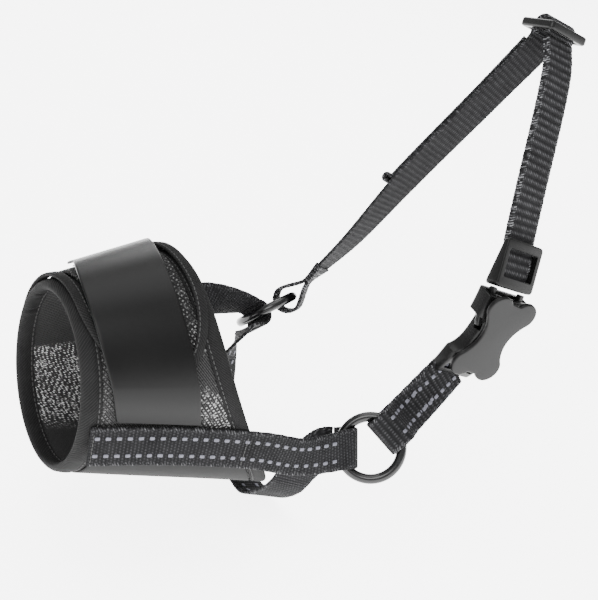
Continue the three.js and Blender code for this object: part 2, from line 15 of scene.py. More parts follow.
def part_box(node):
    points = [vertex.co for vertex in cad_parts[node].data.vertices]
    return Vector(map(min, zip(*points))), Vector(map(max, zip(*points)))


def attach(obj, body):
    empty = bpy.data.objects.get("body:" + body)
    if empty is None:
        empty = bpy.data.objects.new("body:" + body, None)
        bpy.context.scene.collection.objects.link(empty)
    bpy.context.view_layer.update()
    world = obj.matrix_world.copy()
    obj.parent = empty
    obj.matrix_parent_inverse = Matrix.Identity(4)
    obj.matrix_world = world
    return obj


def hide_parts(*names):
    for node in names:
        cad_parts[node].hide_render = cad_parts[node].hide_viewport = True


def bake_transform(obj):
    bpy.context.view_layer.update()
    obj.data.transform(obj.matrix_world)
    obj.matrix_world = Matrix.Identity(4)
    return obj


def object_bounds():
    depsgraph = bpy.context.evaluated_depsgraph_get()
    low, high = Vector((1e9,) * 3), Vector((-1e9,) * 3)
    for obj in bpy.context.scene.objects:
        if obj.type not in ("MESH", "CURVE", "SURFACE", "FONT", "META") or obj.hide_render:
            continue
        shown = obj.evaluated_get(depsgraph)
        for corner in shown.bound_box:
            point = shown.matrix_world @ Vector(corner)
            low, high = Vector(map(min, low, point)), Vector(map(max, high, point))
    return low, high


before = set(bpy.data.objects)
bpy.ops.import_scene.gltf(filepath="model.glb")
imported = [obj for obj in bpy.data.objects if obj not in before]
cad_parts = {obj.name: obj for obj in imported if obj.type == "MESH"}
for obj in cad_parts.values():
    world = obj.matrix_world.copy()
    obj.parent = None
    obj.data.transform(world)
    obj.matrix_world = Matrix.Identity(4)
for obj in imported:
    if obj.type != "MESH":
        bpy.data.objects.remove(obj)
CAD_BOX = [list(corner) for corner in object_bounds()]
MM = 0.001
SEED = 7
rng = np.random.default_rng(SEED)

# ------------------------------------------------------------ small geometry


def vec(*values):
    return np.array(values, float)


def unit(v):
    v = np.asarray(v, float)
    return v / np.maximum(np.linalg.norm(v, axis=-1, keepdims=True), 1e-12)


def lerp(a, b, t):
    return a + (b - a) * t


def smoothstep(x, low, high):
    t = np.clip((x - low) / (high - low), 0, 1)
    return t * t * (3 - 2 * t)


def dot(a, b):
    return np.sum(a * b, axis=-1, keepdims=True)


def sample(at, s, values):
    """values, one row for each of the lengths s, read off at other lengths."""
    return np.stack([np.interp(at, s, column) for column in values.T], -1)


def arc_lengths(points):
    return np.concatenate([[0], np.cumsum(np.linalg.norm(np.diff(points, axis=0), axis=1))])


# ----------------------------------------------------------------- mesh making


def smooth(mesh, sharp_from):
    """Smooth shading, but for edges sharper than an angle in degrees, if one is given."""
    mesh.polygons.foreach_set("use_smooth", [True] * len(mesh.polygons))
    if sharp_from is not None:
        mesh.set_sharp_from_angle(angle=math.radians(sharp_from))


def make_object(name, vertices, faces, material, cloth=None, smooth_angle=None):
    """vertices in millimetres; cloth is one (s, t, zone) for each face corner."""
    mesh = bpy.data.meshes.new(name)
    mesh.from_pydata((np.asarray(vertices) * MM).tolist(), [], [list(f) for f in faces])
    if cloth is not None:
        layer = mesh.attributes.new("cloth", "FLOAT_VECTOR", "CORNER")
        layer.data.foreach_set("vector", np.asarray(cloth, np.float32).ravel())
    work = bmesh.new()
    work.from_mesh(mesh)
    bmesh.ops.recalc_face_normals(work, faces=work.faces)
    work.to_mesh(mesh)
    work.free()
    smooth(mesh, smooth_angle)
    mesh.materials.append(material)
    piece = bpy.data.objects.new(name, mesh)
    bpy.context.scene.collection.objects.link(piece)
    return piece


def tube_object(name, points, cloth, material, closed=False, smooth_angle=None):
    """points is (n, m, 3): n sections of m points, each section a closed loop.
    cloth is (n or n + 1, m + 1, 3), with one more section where the tube is closed."""
    n, m = points.shape[:2]
    last = n if closed else n - 1
    i, j = np.meshgrid(np.arange(last), np.arange(m), indexing="ij")
    i, j = i.ravel(), j.ravel()
    i2, j2 = (i + 1) % n, (j + 1) % m
    faces = np.stack([i * m + j, i2 * m + j, i2 * m + j2, i * m + j2], 1).tolist()
    corners = np.stack([cloth[i, j], cloth[i + 1, j], cloth[i + 1, j + 1], cloth[i, j + 1]], 1)
    corners = corners.reshape(-1, 3)
    if not closed:
        faces += [list(range(m)), list(range((n - 1) * m, n * m))]
        corners = np.vstack([corners, cloth[0, :m], cloth[n - 1, :m]])
    return make_object(name, points.reshape(-1, 3), faces, material, corners, smooth_angle)


def band_cloth(s, t, zone):
    """Cloth coordinates of a tube whose first and last points across are the same."""
    cloth = np.stack([np.broadcast_to(s, t.shape), t, np.broadcast_to(zone, t.shape)], -1)
    return np.concatenate([cloth, cloth[:, :1]], axis=1)


def scatter(name, template, places, material):
    """One mesh of many copies of a small template, each at a 3 x 4 place."""
    corners, faces = template
    count = len(corners)
    vertices = np.concatenate([corners @ p[:, :3].T + p[:, 3] for p in places])
    shifted = [[v + k * count for v in face] for k in range(len(places)) for face in faces]
    flat = vertices[np.concatenate([np.array(face) for face in shifted])]
    return make_object(name, vertices, shifted, material, flat)


def lathe_template(radii, heights, segments):
    """A closed round solid about x: radii at heights, with a point at both ends."""
    ring = 2 * np.pi * np.arange(segments) / segments
    rows = [np.stack([np.full(segments, h), r * np.cos(ring), r * np.sin(ring)], 1)
            for r, h in zip(radii, heights)]
    corners = np.vstack([*rows, [[heights[0] - 0.08, 0, 0]], [[heights[-1] + 0.08, 0, 0]]])
    first, final = len(rows) * segments, len(rows) * segments + 1
    faces = []
    for k in range(segments):
        nxt = (k + 1) % segments
        faces.append([first, nxt, k])
        top = (len(rows) - 1) * segments
        faces.append([final, top + k, top + nxt])
        for row in range(len(rows) - 1):
            a = row * segments
            faces.append([a + k, a + nxt, a + segments + nxt, a + segments + k])
    return corners, faces


def pad_template(length, width, height):
    """A small woven pad: a closed pillow, its lower side flat."""
    ring = 2 * np.pi * np.arange(20) / 20
    cosine, sine = np.cos(ring), np.sin(ring)
    x = np.sign(cosine) * np.abs(cosine) ** 0.45 * length / 2
    y = np.sign(sine) * np.abs(sine) ** 0.45 * width / 2
    rows = [(1.0, -0.3), (1.0, height * 0.35), (0.9, height * 0.8), (0.6, height)]
    corners = np.vstack([np.stack([x * k, y * k, np.full(20, h)], 1) for k, h in rows])
    faces = [list(range(20))[::-1], list(range(60, 80))]
    for row in range(3):
        for k in range(20):
            nxt = (k + 1) % 20
            faces.append([row * 20 + k, row * 20 + nxt, row * 20 + 20 + nxt, row * 20 + 20 + k])
    return corners, faces


DASH = pad_template(2.4, 1.75, 0.3)
STITCH = lathe_template([0.13, 0.26, 0.3, 0.26, 0.13], [-0.95, -0.7, 0, 0.7, 0.95], 8)

# ------------------------------------------------------------------ materials


CLOTH_SPECULAR = 0.06
DIAGONAL = 0.71


class Value:
    """A number in a material's node tree, so that sums are written as sums."""

    def __init__(self, shader, socket):
        self.shader = shader
        self.socket = socket

    def __add__(self, other):
        return self.shader.math("ADD", self, other)

    def __mul__(self, other):
        return self.shader.math("MULTIPLY", self, other)

    def __truediv__(self, other):
        return self.shader.math("DIVIDE", self, other)


class Shader:
    """A procedural material. cloth gives millimetres along and across a fabric."""

    def __init__(self, name, roughness, **sockets):
        self.material = bpy.data.materials.new(name)
        self.material.use_nodes = True
        self.tree = self.material.node_tree
        self.tree.nodes.clear()
        self.bsdf = self.tree.nodes.new("ShaderNodeBsdfPrincipled")
        output = self.tree.nodes.new("ShaderNodeOutputMaterial")
        self.tree.links.new(self.bsdf.outputs[0], output.inputs[0])
        self.bsdf.inputs["Roughness"].default_value = roughness
        self.bsdf.inputs["Specular IOR Level"].default_value = CLOTH_SPECULAR
        for socket, value in sockets.items():
            self.bsdf.inputs[socket.replace("_", " ")].default_value = value

    def node(self, kind, *inputs, **settings):
        made = self.tree.nodes.new(kind)
        for key, value in settings.items():
            setattr(made, key, value)
        for index, value in enumerate(inputs):
            self.feed(made.inputs[index], value)
        return made

    def feed(self, socket, value):
        if isinstance(value, Value):
            self.tree.links.new(value.socket, socket)
        else:
            socket.default_value = value

    def math(self, operation, *values):
        return Value(self, self.node("ShaderNodeMath", *values, operation=operation).outputs[0])

    def cloth(self):
        vector = self.node("ShaderNodeAttribute", attribute_name="cloth").outputs["Vector"]
        parts = self.node("ShaderNodeSeparateXYZ", Value(self, vector)).outputs
        return [Value(self, part) for part in parts]

    def wave(self, value, pitch):
        """0 to 1 and back over each pitch."""
        return self.math("COSINE", value * (2 * math.pi / pitch)) * -0.5 + 0.5

    def noise(self, scale, detail=2.0):
        made = self.node("ShaderNodeTexNoise")
        where = self.node("ShaderNodeTexCoord").outputs["Object"]
        self.tree.links.new(where, made.inputs["Vector"])
        made.inputs["Scale"].default_value = scale
        made.inputs["Detail"].default_value = detail
        return Value(self, made.outputs["Fac"])

    def random(self, x, y):
        """A steady random number for each whole cell."""
        floors = [self.math("FLOOR", value) for value in (x, y)]
        cell = Value(self, self.node("ShaderNodeCombineXYZ", *floors).outputs[0])
        made = self.node("ShaderNodeTexWhiteNoise", cell, noise_dimensions="3D")
        return Value(self, made.outputs["Value"])

    def step(self, value, low, high):
        made = self.node("ShaderNodeMapRange", value, low, high, interpolation_type="SMOOTHSTEP")
        return Value(self, made.outputs[0])

    def colour(self, factor, dark, light):
        ramp = self.node("ShaderNodeMix", data_type="RGBA", clamp_factor=True)
        self.feed(ramp.inputs[0], factor)
        ramp.inputs[6].default_value = (*dark, 1)
        ramp.inputs[7].default_value = (*light, 1)
        self.tree.links.new(ramp.outputs[2], self.bsdf.inputs["Base Color"])

    def bump(self, height, distance, strength=1.0):
        made = self.node("ShaderNodeBump")
        made.inputs["Strength"].default_value = strength
        made.inputs["Distance"].default_value = distance * MM
        self.feed(made.inputs["Height"], height)
        self.tree.links.new(made.outputs[0], self.bsdf.inputs["Normal"])

    def roughness(self, factor, low, high):
        made = self.node("ShaderNodeMapRange", factor, 0.0, 1.0, low, high)
        self.tree.links.new(made.outputs[0], self.bsdf.inputs["Roughness"])


def grey(value, blue=1.0):
    return (value, value, value * blue)


def webbing_material(name, rib, thread, light, speckle, edge_from=7.4):
    """Woven polyester: ribs across the webbing, a painted highlight on their crests whose strength is
    light, and looped light threads along both edges."""
    loop_pitch, loop_height, edge_to = 1.35, 1.1, 9.4
    m = Shader(name, 0.72)
    s, t, _ = m.cloth()
    row = m.math("FLOOR", s / rib)
    shifted = t + m.math("MODULO", row, 2.0) * (thread / 2)
    crest = m.wave(s, rib)
    strand = m.wave(shifted, thread)
    chance = m.random(s / rib, shifted / thread)
    # body is painted highlight: bright spots on the rib crests, where light would glint off the
    # threads.
    body = m.math("POWER", crest, 2.2) * strand * (chance * 0.7 + 0.3)
    side = m.step(m.math("ABSOLUTE", t), edge_from, edge_to)
    loops = m.wave(s + t * 0.55, loop_pitch)
    picked = m.step(m.random(s / loop_pitch, t / loop_height), 0.35, 0.9)
    edge = side * m.math("POWER", loops, 3.0) * (picked * speckle)
    worn = m.noise(130.0) * 0.05
    # The colour is painted highlight on the crests (body * light), plus the pale edge threads and a
    # faint random tone.
    m.colour(body * light + edge + worn, grey(0.003, 1.08), grey(0.2, 1.05))
    m.bump(crest * 0.6 + strand * 0.5, 0.32, 0.9)
    return m.material


def twill_material(name, low, high):
    line_pitch, thread_pitch = 1.15, 0.62
    m = Shader(name, 0.78)
    s, t, _ = m.cloth()
    line = m.wave(s * DIAGONAL + t * DIAGONAL, line_pitch)
    across = m.wave(s * DIAGONAL + t * -DIAGONAL, thread_pitch)
    soft = m.noise(90.0, 3.0)
    m.colour(line * 0.5 + (soft * 0.5 + across * 0.12), grey(low), grey(high))
    m.bump(line + across * 0.25, 0.2, 0.8)
    return m.material


def mesh_material(name, pale, dark, twill):
    """Air mesh: a black diagonal knit with bright filaments showing through its holes.
    The cloth's third number is how strongly they show."""
    hole_length, hole_width = 1.9, 1.6
    speck_length, speck_width = 0.62, 0.5
    m = Shader(name, 0.7)
    s, t, zone = m.cloth()
    a = s * 0.62 + t * 0.78
    b = s * 0.78 + t * -0.62
    knit = m.wave(a, 0.95)
    moved = b + m.random(a / hole_length, 0.0)
    hole = m.wave(a, hole_length) * m.wave(moved, hole_width)
    chance = m.random(a / hole_length, moved / hole_width)
    big = m.step(hole, 0.45, 0.85) * m.step(chance, 0.0, 0.7)
    small = m.random(a / speck_length, b / speck_width)
    fine = m.step(small, 0.72, 1.0) * m.step(m.noise(260.0), 0.42, 0.62)
    m.colour((big * 0.9 + fine * 0.55) * zone + knit * twill, grey(dark), grey(pale))
    m.bump(knit * 0.4 + hole * 0.9, 0.3, 0.8)
    return m.material


def satin_material():
    pitch = 0.42
    m = Shader("satin_strap", 0.34, Specular_IOR_Level=0.13)
    s, t, _ = m.cloth()
    weave = m.wave(s, pitch) * m.wave(t, pitch)
    cloud = m.noise(45.0, 3.0)
    m.colour(cloud * 0.7 + weave * 0.2, grey(0.0015), grey(0.003))
    m.roughness(cloud, 0.3, 0.36)
    m.bump(weave * 0.3 + cloud * 0.6, 0.09, 0.5)
    return m.material


def plain_material(name, low, high):
    m = Shader(name, 0.7)
    s, t, _ = m.cloth()
    weave = m.wave(s + t, 0.8) + m.wave(t, 0.5) * 0.5
    cloud = m.noise(60.0, 4.0)
    m.colour(cloud * 0.8 + weave * 0.12, grey(low), grey(high))
    m.bump(weave * 0.2 + cloud, 0.22, 0.6)
    return m.material


def tape_material(name, pitch):
    m = Shader(name, 0.9)
    s, t, _ = m.cloth()
    dots = m.wave(s, pitch) * m.wave(t, pitch)
    chance = m.random(s / pitch, t / pitch)
    m.colour(dots * (chance * 0.6 + 0.4), grey(0.006), grey(0.05))
    m.bump(dots, 0.4)
    return m.material


def metal_material():
    m = Shader("black_metal", 0.2, Specular_IOR_Level=0.3, Coat_Weight=0.08)
    scuffs = m.noise(420.0, 5.0)
    cloud = m.noise(70.0, 2.0)
    m.colour(scuffs * cloud, grey(0.002), grey(0.01, 1.1))
    m.roughness(scuffs, 0.14, 0.28)
    m.bump(scuffs + cloud * 2.0, 0.02, 0.4)
    return m.material


def plastic_material(name, low, high, rough):
    m = Shader(name, rough, Specular_IOR_Level=0.14)
    grain = m.noise(2600.0, 2.0)
    cloud = m.noise(55.0, 3.0)
    m.colour(cloud * 0.8 + grain * 0.2, grey(low), grey(high))
    m.roughness(cloud, rough - 0.06, rough + 0.08)
    m.bump(grain, 0.035, 0.6)
    return m.material


def reflective_material():
    m = Shader("reflective_thread", 0.5, Metallic=0.15)
    beads = m.noise(3200.0, 1.0)
    dirt = m.noise(380.0, 3.0)
    m.colour(beads * 0.5 + dirt * 0.5, (0.05, 0.05, 0.06), (0.17, 0.17, 0.2))
    m.bump(beads, 0.08, 0.7)
    return m.material


def thread_material(name, low, high):
    m = Shader(name, 0.65)
    twist = m.noise(1800.0, 2.0)
    m.colour(twist, grey(low), grey(high))
    m.bump(twist, 0.08, 0.7)
    return m.material


MESH = mesh_material("air_mesh", pale=0.62, dark=0.006, twill=0.05)
FLAP_MESH = mesh_material("flap_mesh", pale=0.14, dark=0.005, twill=0.09)
TWILL = twill_material("twill_binding", 0.003, 0.016)
SATIN = satin_material()
PLAIN = plain_material("chin_fabric", 0.005, 0.013)
TAPE = tape_material("hook_tape", 1.1)
# The fourth number of each webbing sets the strength of its painted highlight on the rib crests.
SIDE_WEB = webbing_material("side_webbing", 1.75, 1.5, 0.14, 0.4)
TAB_WEB = webbing_material("tab_webbing", 2.9, 1.4, 0.18, 0.6)
NECK_WEB = webbing_material("neck_webbing", 3.9, 1.25, 0.3, 0.9)
FAR_WEB = webbing_material("far_webbing", 3.0, 1.5, 0.1, 0.25, edge_from=8.4)
LOOP_WEB = webbing_material("loop_webbing", 2.2, 1.3, 0.3, 0.8, edge_from=4.0)
METAL = metal_material()
BONE_PLASTIC = plastic_material("bone_plastic", 0.002, 0.004, 0.42)
BODY_PLASTIC = plastic_material("buckle_plastic", 0.003, 0.007, 0.26)
PLUG_PLASTIC = plastic_material("plug_plastic", 0.002, 0.004, 0.3)
SLIDE_PLASTIC = plastic_material("slide_plastic", 0.004, 0.009, 0.26)
REFLECTIVE = reflective_material()
DARK_THREAD = thread_material("dark_thread", 0.02, 0.07)
PALE_THREAD = thread_material("pale_thread", 0.1, 0.3)

# ------------------------------------------------------------ placing a piece


def place(piece, body, node=None):
    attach(piece, body)
    if node is not None:
        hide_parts(node)
    return piece


# --------------------------------------------------------------- snout sleeve

FRONT_X = -54.4
FRONT = {"half_width": 35, "half_height": 44.5, "centre_y": 4.6, "centre_z": -3.75}
REAR = {"half_width": 49, "half_height": 62.5, "centre_y": 0, "centre_z": -10}
REAR_X = 20
REAR_SLANT = 0.44
REAR_SWEEP = 0.22
SLEEVE_WALL = 2.2
BINDING_WIDTH = 8
BINDING_WALL = 4.6
SLEEVE_INSET = 1.6
FLECKS_OUTSIDE = 0.6
FLECKS_INSIDE = 1.3


def sleeve_point(u, angle, lift):
    """A point of the sleeve: u from the front edge to the rear one, the angle 0 at the
    near side and 90 degrees on top, lift outward from the middle of the wall."""
    u, angle, lift = np.broadcast_arrays(*(np.asarray(v, float) for v in (u, angle, lift)))
    half_width = lerp(FRONT["half_width"], REAR["half_width"], u)
    half_height = lerp(FRONT["half_height"], REAR["half_height"], u)
    centre_y = lerp(FRONT["centre_y"], REAR["centre_y"], u)
    centre_z = lerp(FRONT["centre_z"], REAR["centre_z"], u)
    normal = unit(np.stack([0 * u, -np.cos(angle) / half_width, np.sin(angle) / half_height], -1))
    x = lerp(FRONT_X, rear_edge_x(angle), u)
    y = centre_y - half_width * np.cos(angle)
    return np.stack([x, y, centre_z + half_height * np.sin(angle)], -1) + normal * lift[..., None]


def rear_edge_x(angle):
    rise = REAR["half_height"] * np.sin(angle)
    return REAR_X - REAR_SLANT * rise + REAR_SWEEP * rise * rise / REAR["half_height"]


def share_of(distance, angle):
    return distance / (rear_edge_x(angle) - FRONT_X)


def ring_cloth(points, zone):
    """cloth coordinates for a closed ring of sections: along its middle, and round
    the section."""
    wrapped = np.concatenate([points, points[:1]])
    s = arc_lengths(wrapped.mean(axis=1))
    around = np.concatenate([wrapped, wrapped[:, :1]], axis=1)
    t = np.cumsum(np.linalg.norm(np.diff(around, axis=1), axis=2), axis=1)
    t = np.concatenate([np.zeros((len(t), 1)), t], axis=1)
    if np.ndim(zone) == 2:
        zone = np.concatenate([zone, zone[:1]])
        zone = np.concatenate([zone, zone[:, :1]], axis=1)
    return np.stack([np.broadcast_to(s[:, None], t.shape), t, np.broadcast_to(zone, t.shape)], -1)


def soft_band(x, rise, fall):
    """1 between two soft edges, each a (start, end) pair, and 0 outside them."""
    return smoothstep(x, *rise) * (1 - smoothstep(x, *fall))


def add_sleeve():
    around, along_count = 360, 80
    angle = 2 * np.pi * np.arange(around)[:, None] / around
    share = np.linspace(0, 1, along_count)[None, :]
    inset = share_of(SLEEVE_INSET, angle)
    u = lerp(inset, 1 - inset, share)
    half = SLEEVE_WALL / 2
    pucker = 0.16 * np.sin(9 * angle + 1.3) * np.sin(5 * np.pi * share)
    outer = sleeve_point(u, angle, half + pucker)
    inner = sleeve_point(u, angle, -half + pucker)[:, ::-1]
    points = np.concatenate([outer, inner], axis=1)
    degrees = np.degrees(angle)
    inside = soft_band(degrees, (181, 184), (222, 240))
    rear_patch = smoothstep(u, 0.66, 0.76)
    upper = soft_band(degrees, (28, 36), (54, 64))
    wrapped = np.where(degrees > 180, degrees - 360, degrees)
    lower = soft_band(wrapped, (-16, -9), (8, 18))
    front_strip = 0.3 * (1 - smoothstep(u, 0.14, 0.22)) * (wrapped < 60) * (wrapped > -30)
    far = soft_band(degrees, (120, 135), (215, 235)) * 0.8
    outside = np.clip(rear_patch * (upper * 0.8 + lower) + front_strip + far, 0, 1)
    zone = np.concatenate([outside * FLECKS_OUTSIDE, inside * FLECKS_INSIDE * np.ones_like(u)], axis=1)
    piece = tube_object("sleeve_fabric", points, ring_cloth(points, zone), MESH, closed=True)
    return place(piece, "muzzle", "snout_sleeve")


# The binding's section as (lift, distance from the edge): a rolled channel with a
# pressed line where it is stitched through.
BINDING_SECTION = [
    (1.3, 8.0), (1.62, 8.1), (1.9, 7.85), (2.02, 7.4), (1.86, 6.85), (1.74, 6.5), (1.9, 6.1),
    (2.22, 5.4), (2.44, 4.4), (2.52, 3.2), (2.46, 2.0), (2.24, 0.9), (1.84, 0.0), (1.25, -0.65),
    (0.6, -1.0), (0.0, -1.1),
]


def add_binding(name, node, edge, wrinkles, creases):
    """edge 0 is the front edge, 1 the rear edge. Each wrinkle is a wave (count, depth,
    phase) and each crease is (degrees, width, depth)."""
    count = 540
    angle = 2 * np.pi * np.arange(count)[:, None] / count
    outer = BINDING_SECTION
    inner = [(-lift, inset) for lift, inset in outer[::-1][1:]]
    grip = 1.18
    channel = [(-grip, 7.6), (-grip, 1.4), (grip, 1.4), (grip, 7.6)]
    section = np.array(outer + inner + channel)
    lift, inset = section[:, 0][None, :], section[:, 1][None, :]
    softness = smoothstep(7.4 - np.abs(inset - 3.4), 2.4, 6.4) * (np.abs(lift) > 1.2)
    wave = sum(a * np.sin(k * angle + p) for k, a, p in wrinkles)
    for at, width, depth in creases:
        away = (np.degrees(angle) - at + 180) % 360 - 180
        wave = wave - depth * np.exp(-(away / width) ** 2)
        wave = wave + depth * 0.55 * np.exp(-((np.abs(away) - width * 2.0) / width) ** 2)
    lift = lift + np.sign(lift) * wave * softness
    inset = inset + 0.12 * np.sin(31 * angle) * (inset > 6)
    points = sleeve_point(edge + (1 - 2 * edge) * share_of(inset, angle), angle, lift)
    piece = tube_object(name, points, ring_cloth(points, 0.0), TWILL, closed=True)
    place(piece, "muzzle", node)
    return [piece, add_binding_stitches(name + "_stitches", edge)]


def add_binding_stitches(name, edge):
    places = []
    angle = np.linspace(0, 2 * np.pi, 4000)
    u = edge + (1 - 2 * edge) * share_of(6.6, angle)
    for side in (1, -1):
        line = sleeve_point(u, angle, side * 1.9)
        lifted = sleeve_point(u, angle, side * 2.9)
        places += thread_places(line, lifted - line, 2.6)
    return place(scatter(name, STITCH, places, DARK_THREAD), "muzzle")


def thread_places(line, out, pitch, jitter=0.05):
    """Places for stitches along a line of points, the width of each facing out."""
    s = arc_lengths(line)
    places = []
    for k in range(int(s[-1] / pitch)):
        at = (k + 0.5) * pitch
        middle = sample(at, s, line)
        forward = unit(sample(at + 0.4, s, line) - middle)
        up = sample(at, s, out)
        up = unit(up - dot(up, forward) * forward)
        side = np.cross(up, forward)
        forward = unit(forward + side * rng.normal(0, jitter))
        places.append(np.column_stack([forward, np.cross(up, forward), up, middle]))
    return places


MEAN_RADIUS = 50
ARC_PER_DEGREE = math.pi / 180 * MEAN_RADIUS


def panel_object(name, angles, edges, lift, thickness, material, across=44, around=120, zone=0.0,
                 shape=None):
    """A panel lying on the sleeve between two angles in degrees, closed all round,
    with rounded edges. shape(share across, share along) adds to its lift."""
    along_share = np.linspace(0, 1, around)[:, None]
    angle = np.radians(lerp(angles[0], angles[1], along_share))
    front, rear = edges(angle)
    r = thickness / 2
    share = np.linspace(0, 1, across)[None, :]
    rounding = np.radians([60, 30, 0, -30, -60])[None, :]
    width = (rear - front) * (rear_edge_x(angle) - FRONT_X)
    edge_share = r * 0.8 / width
    base = np.concatenate([
        lerp(edge_share, 1 - edge_share, share) + 0 * angle,
        1 - edge_share + edge_share * np.cos(rounding),
        lerp(1 - edge_share, edge_share, share) + 0 * angle,
        edge_share - edge_share * np.cos(rounding),
    ], axis=1)
    height = np.concatenate([
        np.full((around, across), r), r * np.sin(rounding) + 0 * angle,
        np.full((around, across), -r), -r * np.sin(rounding) + 0 * angle,
    ], axis=1)
    end = np.minimum(along_share, 1 - along_share) * abs(angles[1] - angles[0]) * ARC_PER_DEGREE
    taper = np.sqrt(np.clip(1 - (1 - np.clip(end / r, 0, 1)) ** 2, 0.04, 1))
    height = height * taper
    extra = 0 if shape is None else shape(base, along_share)
    points = sleeve_point(lerp(front, rear, base), angle, lift(angle) + r + height + extra)
    cloth = band_cloth(arc_lengths(points.mean(axis=1))[:, None], base * width, zone)
    return tube_object(name, points, cloth, material, smooth_angle=50)


PANEL_LIFT = SLEEVE_WALL / 2 + 0.3
FLAP_LIFT = 2.9
FLAP_WALL = 1.5
CLOSURE = {"inset": 5.6, "width": 39.5, "wall": 1.3, "tape": 0.45, "low_lift": 1.9,
           "start": -5, "lifted": 17, "end": 118}
HOOK_ANGLES = (96, 113)
LOOP_ANGLES = (92, 118)
TAPE_LIFT = FLAP_LIFT + FLAP_WALL + 0.35
TOP_LIFT = TAPE_LIFT + 2 * CLOSURE["tape"] + 0.7
FLAP = {"start": 172, "end": 20, "half_share": 0.43, "round_from": 66, "binding": 6}
CHIN_ANGLES = (-148, -32)
CHIN_WALL = 0.9


def flap_half_share(angle):
    degrees = np.degrees(angle)
    into = np.maximum(0, (FLAP["round_from"] - degrees) / (FLAP["round_from"] - FLAP["end"]))
    return FLAP["half_share"] * np.sqrt(np.maximum(0, 1 - into * into))


def add_chin_panel():
    inset = BINDING_WIDTH + 1

    def soft(across, along):
        return 0.14 * np.sin(11 * along + 3 * across) * np.sin(np.pi * np.clip(across, 0, 1))

    piece = panel_object(
        "chin_fabric_panel", CHIN_ANGLES,
        lambda angle: (share_of(inset, angle), 1 - share_of(inset, angle)),
        lambda angle: PANEL_LIFT + 0 * angle, CHIN_WALL, PLAIN, around=160, shape=soft)
    return place(piece, "muzzle", "chin_panel")


def add_flap():
    def edges(angle):
        inner = np.maximum(0.02, flap_half_share(angle) - share_of(FLAP["binding"] * 0.84, angle))
        return 0.5 - inner, 0.5 + inner

    piece = panel_object("flap_fabric", (FLAP["end"] + 7, FLAP["start"]), edges,
                         lambda angle: FLAP_LIFT + 0 * angle, FLAP_WALL, FLAP_MESH,
                         around=220, zone=0.85)
    return place(piece, "muzzle", "top_flap")


def flap_outline(count):
    """Angles and shares along the flap's edge, evenly spaced, with its round end."""
    def straight(side, order):
        degrees = np.linspace(FLAP["start"] - 2, FLAP["round_from"], 60)[::order]
        return [(d, 0.5 + side * FLAP["half_share"]) for d in degrees]

    tip = []
    for turned in np.linspace(0, np.pi, 80)[1:-1]:
        degrees = FLAP["round_from"] - (FLAP["round_from"] - FLAP["end"]) * np.sin(turned)
        tip.append((degrees, 0.5 - FLAP["half_share"] * np.cos(turned)))
    outline = np.array(straight(-1, 1) + tip + straight(1, -1))
    lift = FLAP_LIFT + FLAP_WALL / 2 + 0.65
    points = sleeve_point(outline[:, 1], np.radians(outline[:, 0]), lift)
    outer = sleeve_point(outline[:, 1], np.radians(outline[:, 0]), lift + 1)
    s = arc_lengths(points)
    at = np.linspace(0, s[-1], count)
    return sample(at, s, points), unit(sample(at, s, outer - points)), at


def add_flap_binding():
    middle, out, s = flap_outline(620)
    forward = unit(np.gradient(middle, axis=0))
    out = unit(out - dot(out, forward) * forward)
    side = np.cross(forward, out)
    across, height = [], []
    half_width, half = (FLAP["binding"] - 0.6) / 2, 1.0
    for k in np.linspace(0, 2 * np.pi, 28, endpoint=False):
        c, d = math.cos(k), math.sin(k)
        across.append(math.copysign(abs(c) ** 0.6, c) * half_width)
        height.append(math.copysign(abs(d) ** 0.75, d) * half)
    across, height = np.array(across), np.array(height)
    pinch = 1 - 0.1 * np.exp(-((np.abs(across) - 1.6) / 0.35) ** 2)
    ripple = 1 + 0.05 * np.sin(s / 3.1)[:, None] + 0.04 * np.sin(s / 1.7 + 2)[:, None]
    a = np.broadcast_to(across, (len(s), len(across)))
    h = height * pinch * ripple
    points = middle[:, None] + side[:, None] * a[..., None] + out[:, None] * h[..., None]
    piece = tube_object("flap_edge_binding", points, band_cloth(s[:, None], a, 0.0), TWILL)
    place(piece, "muzzle", "flap_binding")
    line = middle - side * 1.7 + out * 0.78
    stitches = scatter("flap_edge_stitches", STITCH, thread_places(line, out, 2.5), DARK_THREAD)
    return [piece, place(stitches, "muzzle")]


def closure_inset(angle):
    """The strap's front edge is nearest to the muzzle's front at one angle and runs
    back from there, both toward its foot and over the top."""
    degrees = np.degrees(angle)
    nearest, foot_drift, top_drift = 58, 8.6, 6.6
    below = np.maximum(0, (nearest - degrees) / 61)
    above = np.maximum(0, (np.minimum(degrees, 110) - nearest) / 43)
    return CLOSURE["inset"] + foot_drift * below * below + top_drift * above * above


def add_closure():
    def lift(angle):
        rise = smoothstep(angle, math.radians(CLOSURE["start"]), math.radians(CLOSURE["lifted"]))
        return lerp(CLOSURE["low_lift"], TOP_LIFT, rise)

    def closure_edges(front, rear):
        width = CLOSURE["width"]
        return lambda angle: (share_of(closure_inset(angle), angle) + front,
                              share_of(closure_inset(angle) + width, angle) - rear)

    strap = panel_object("closure_satin", (CLOSURE["start"], CLOSURE["end"]), closure_edges(0, 0),
                         lift, CLOSURE["wall"], SATIN, across=60, around=320)
    place(strap, "closure", "closure_strap")
    hooks = panel_object("closure_hooks", HOOK_ANGLES, closure_edges(0.06, 0.06),
                         lambda angle: TOP_LIFT - 0.25 - CLOSURE["tape"] + 0 * angle,
                         CLOSURE["tape"], TAPE, around=60)
    place(hooks, "closure", "closure_hook_tape")
    loops = panel_object("flap_loops", LOOP_ANGLES, closure_edges(0.04, 0.08),
                         lambda angle: TAPE_LIFT + 0 * angle, CLOSURE["tape"], TAPE, around=60)
    place(loops, "muzzle", "flap_loop_tape")
    return strap


# -------------------------------------------------------------------- webbing

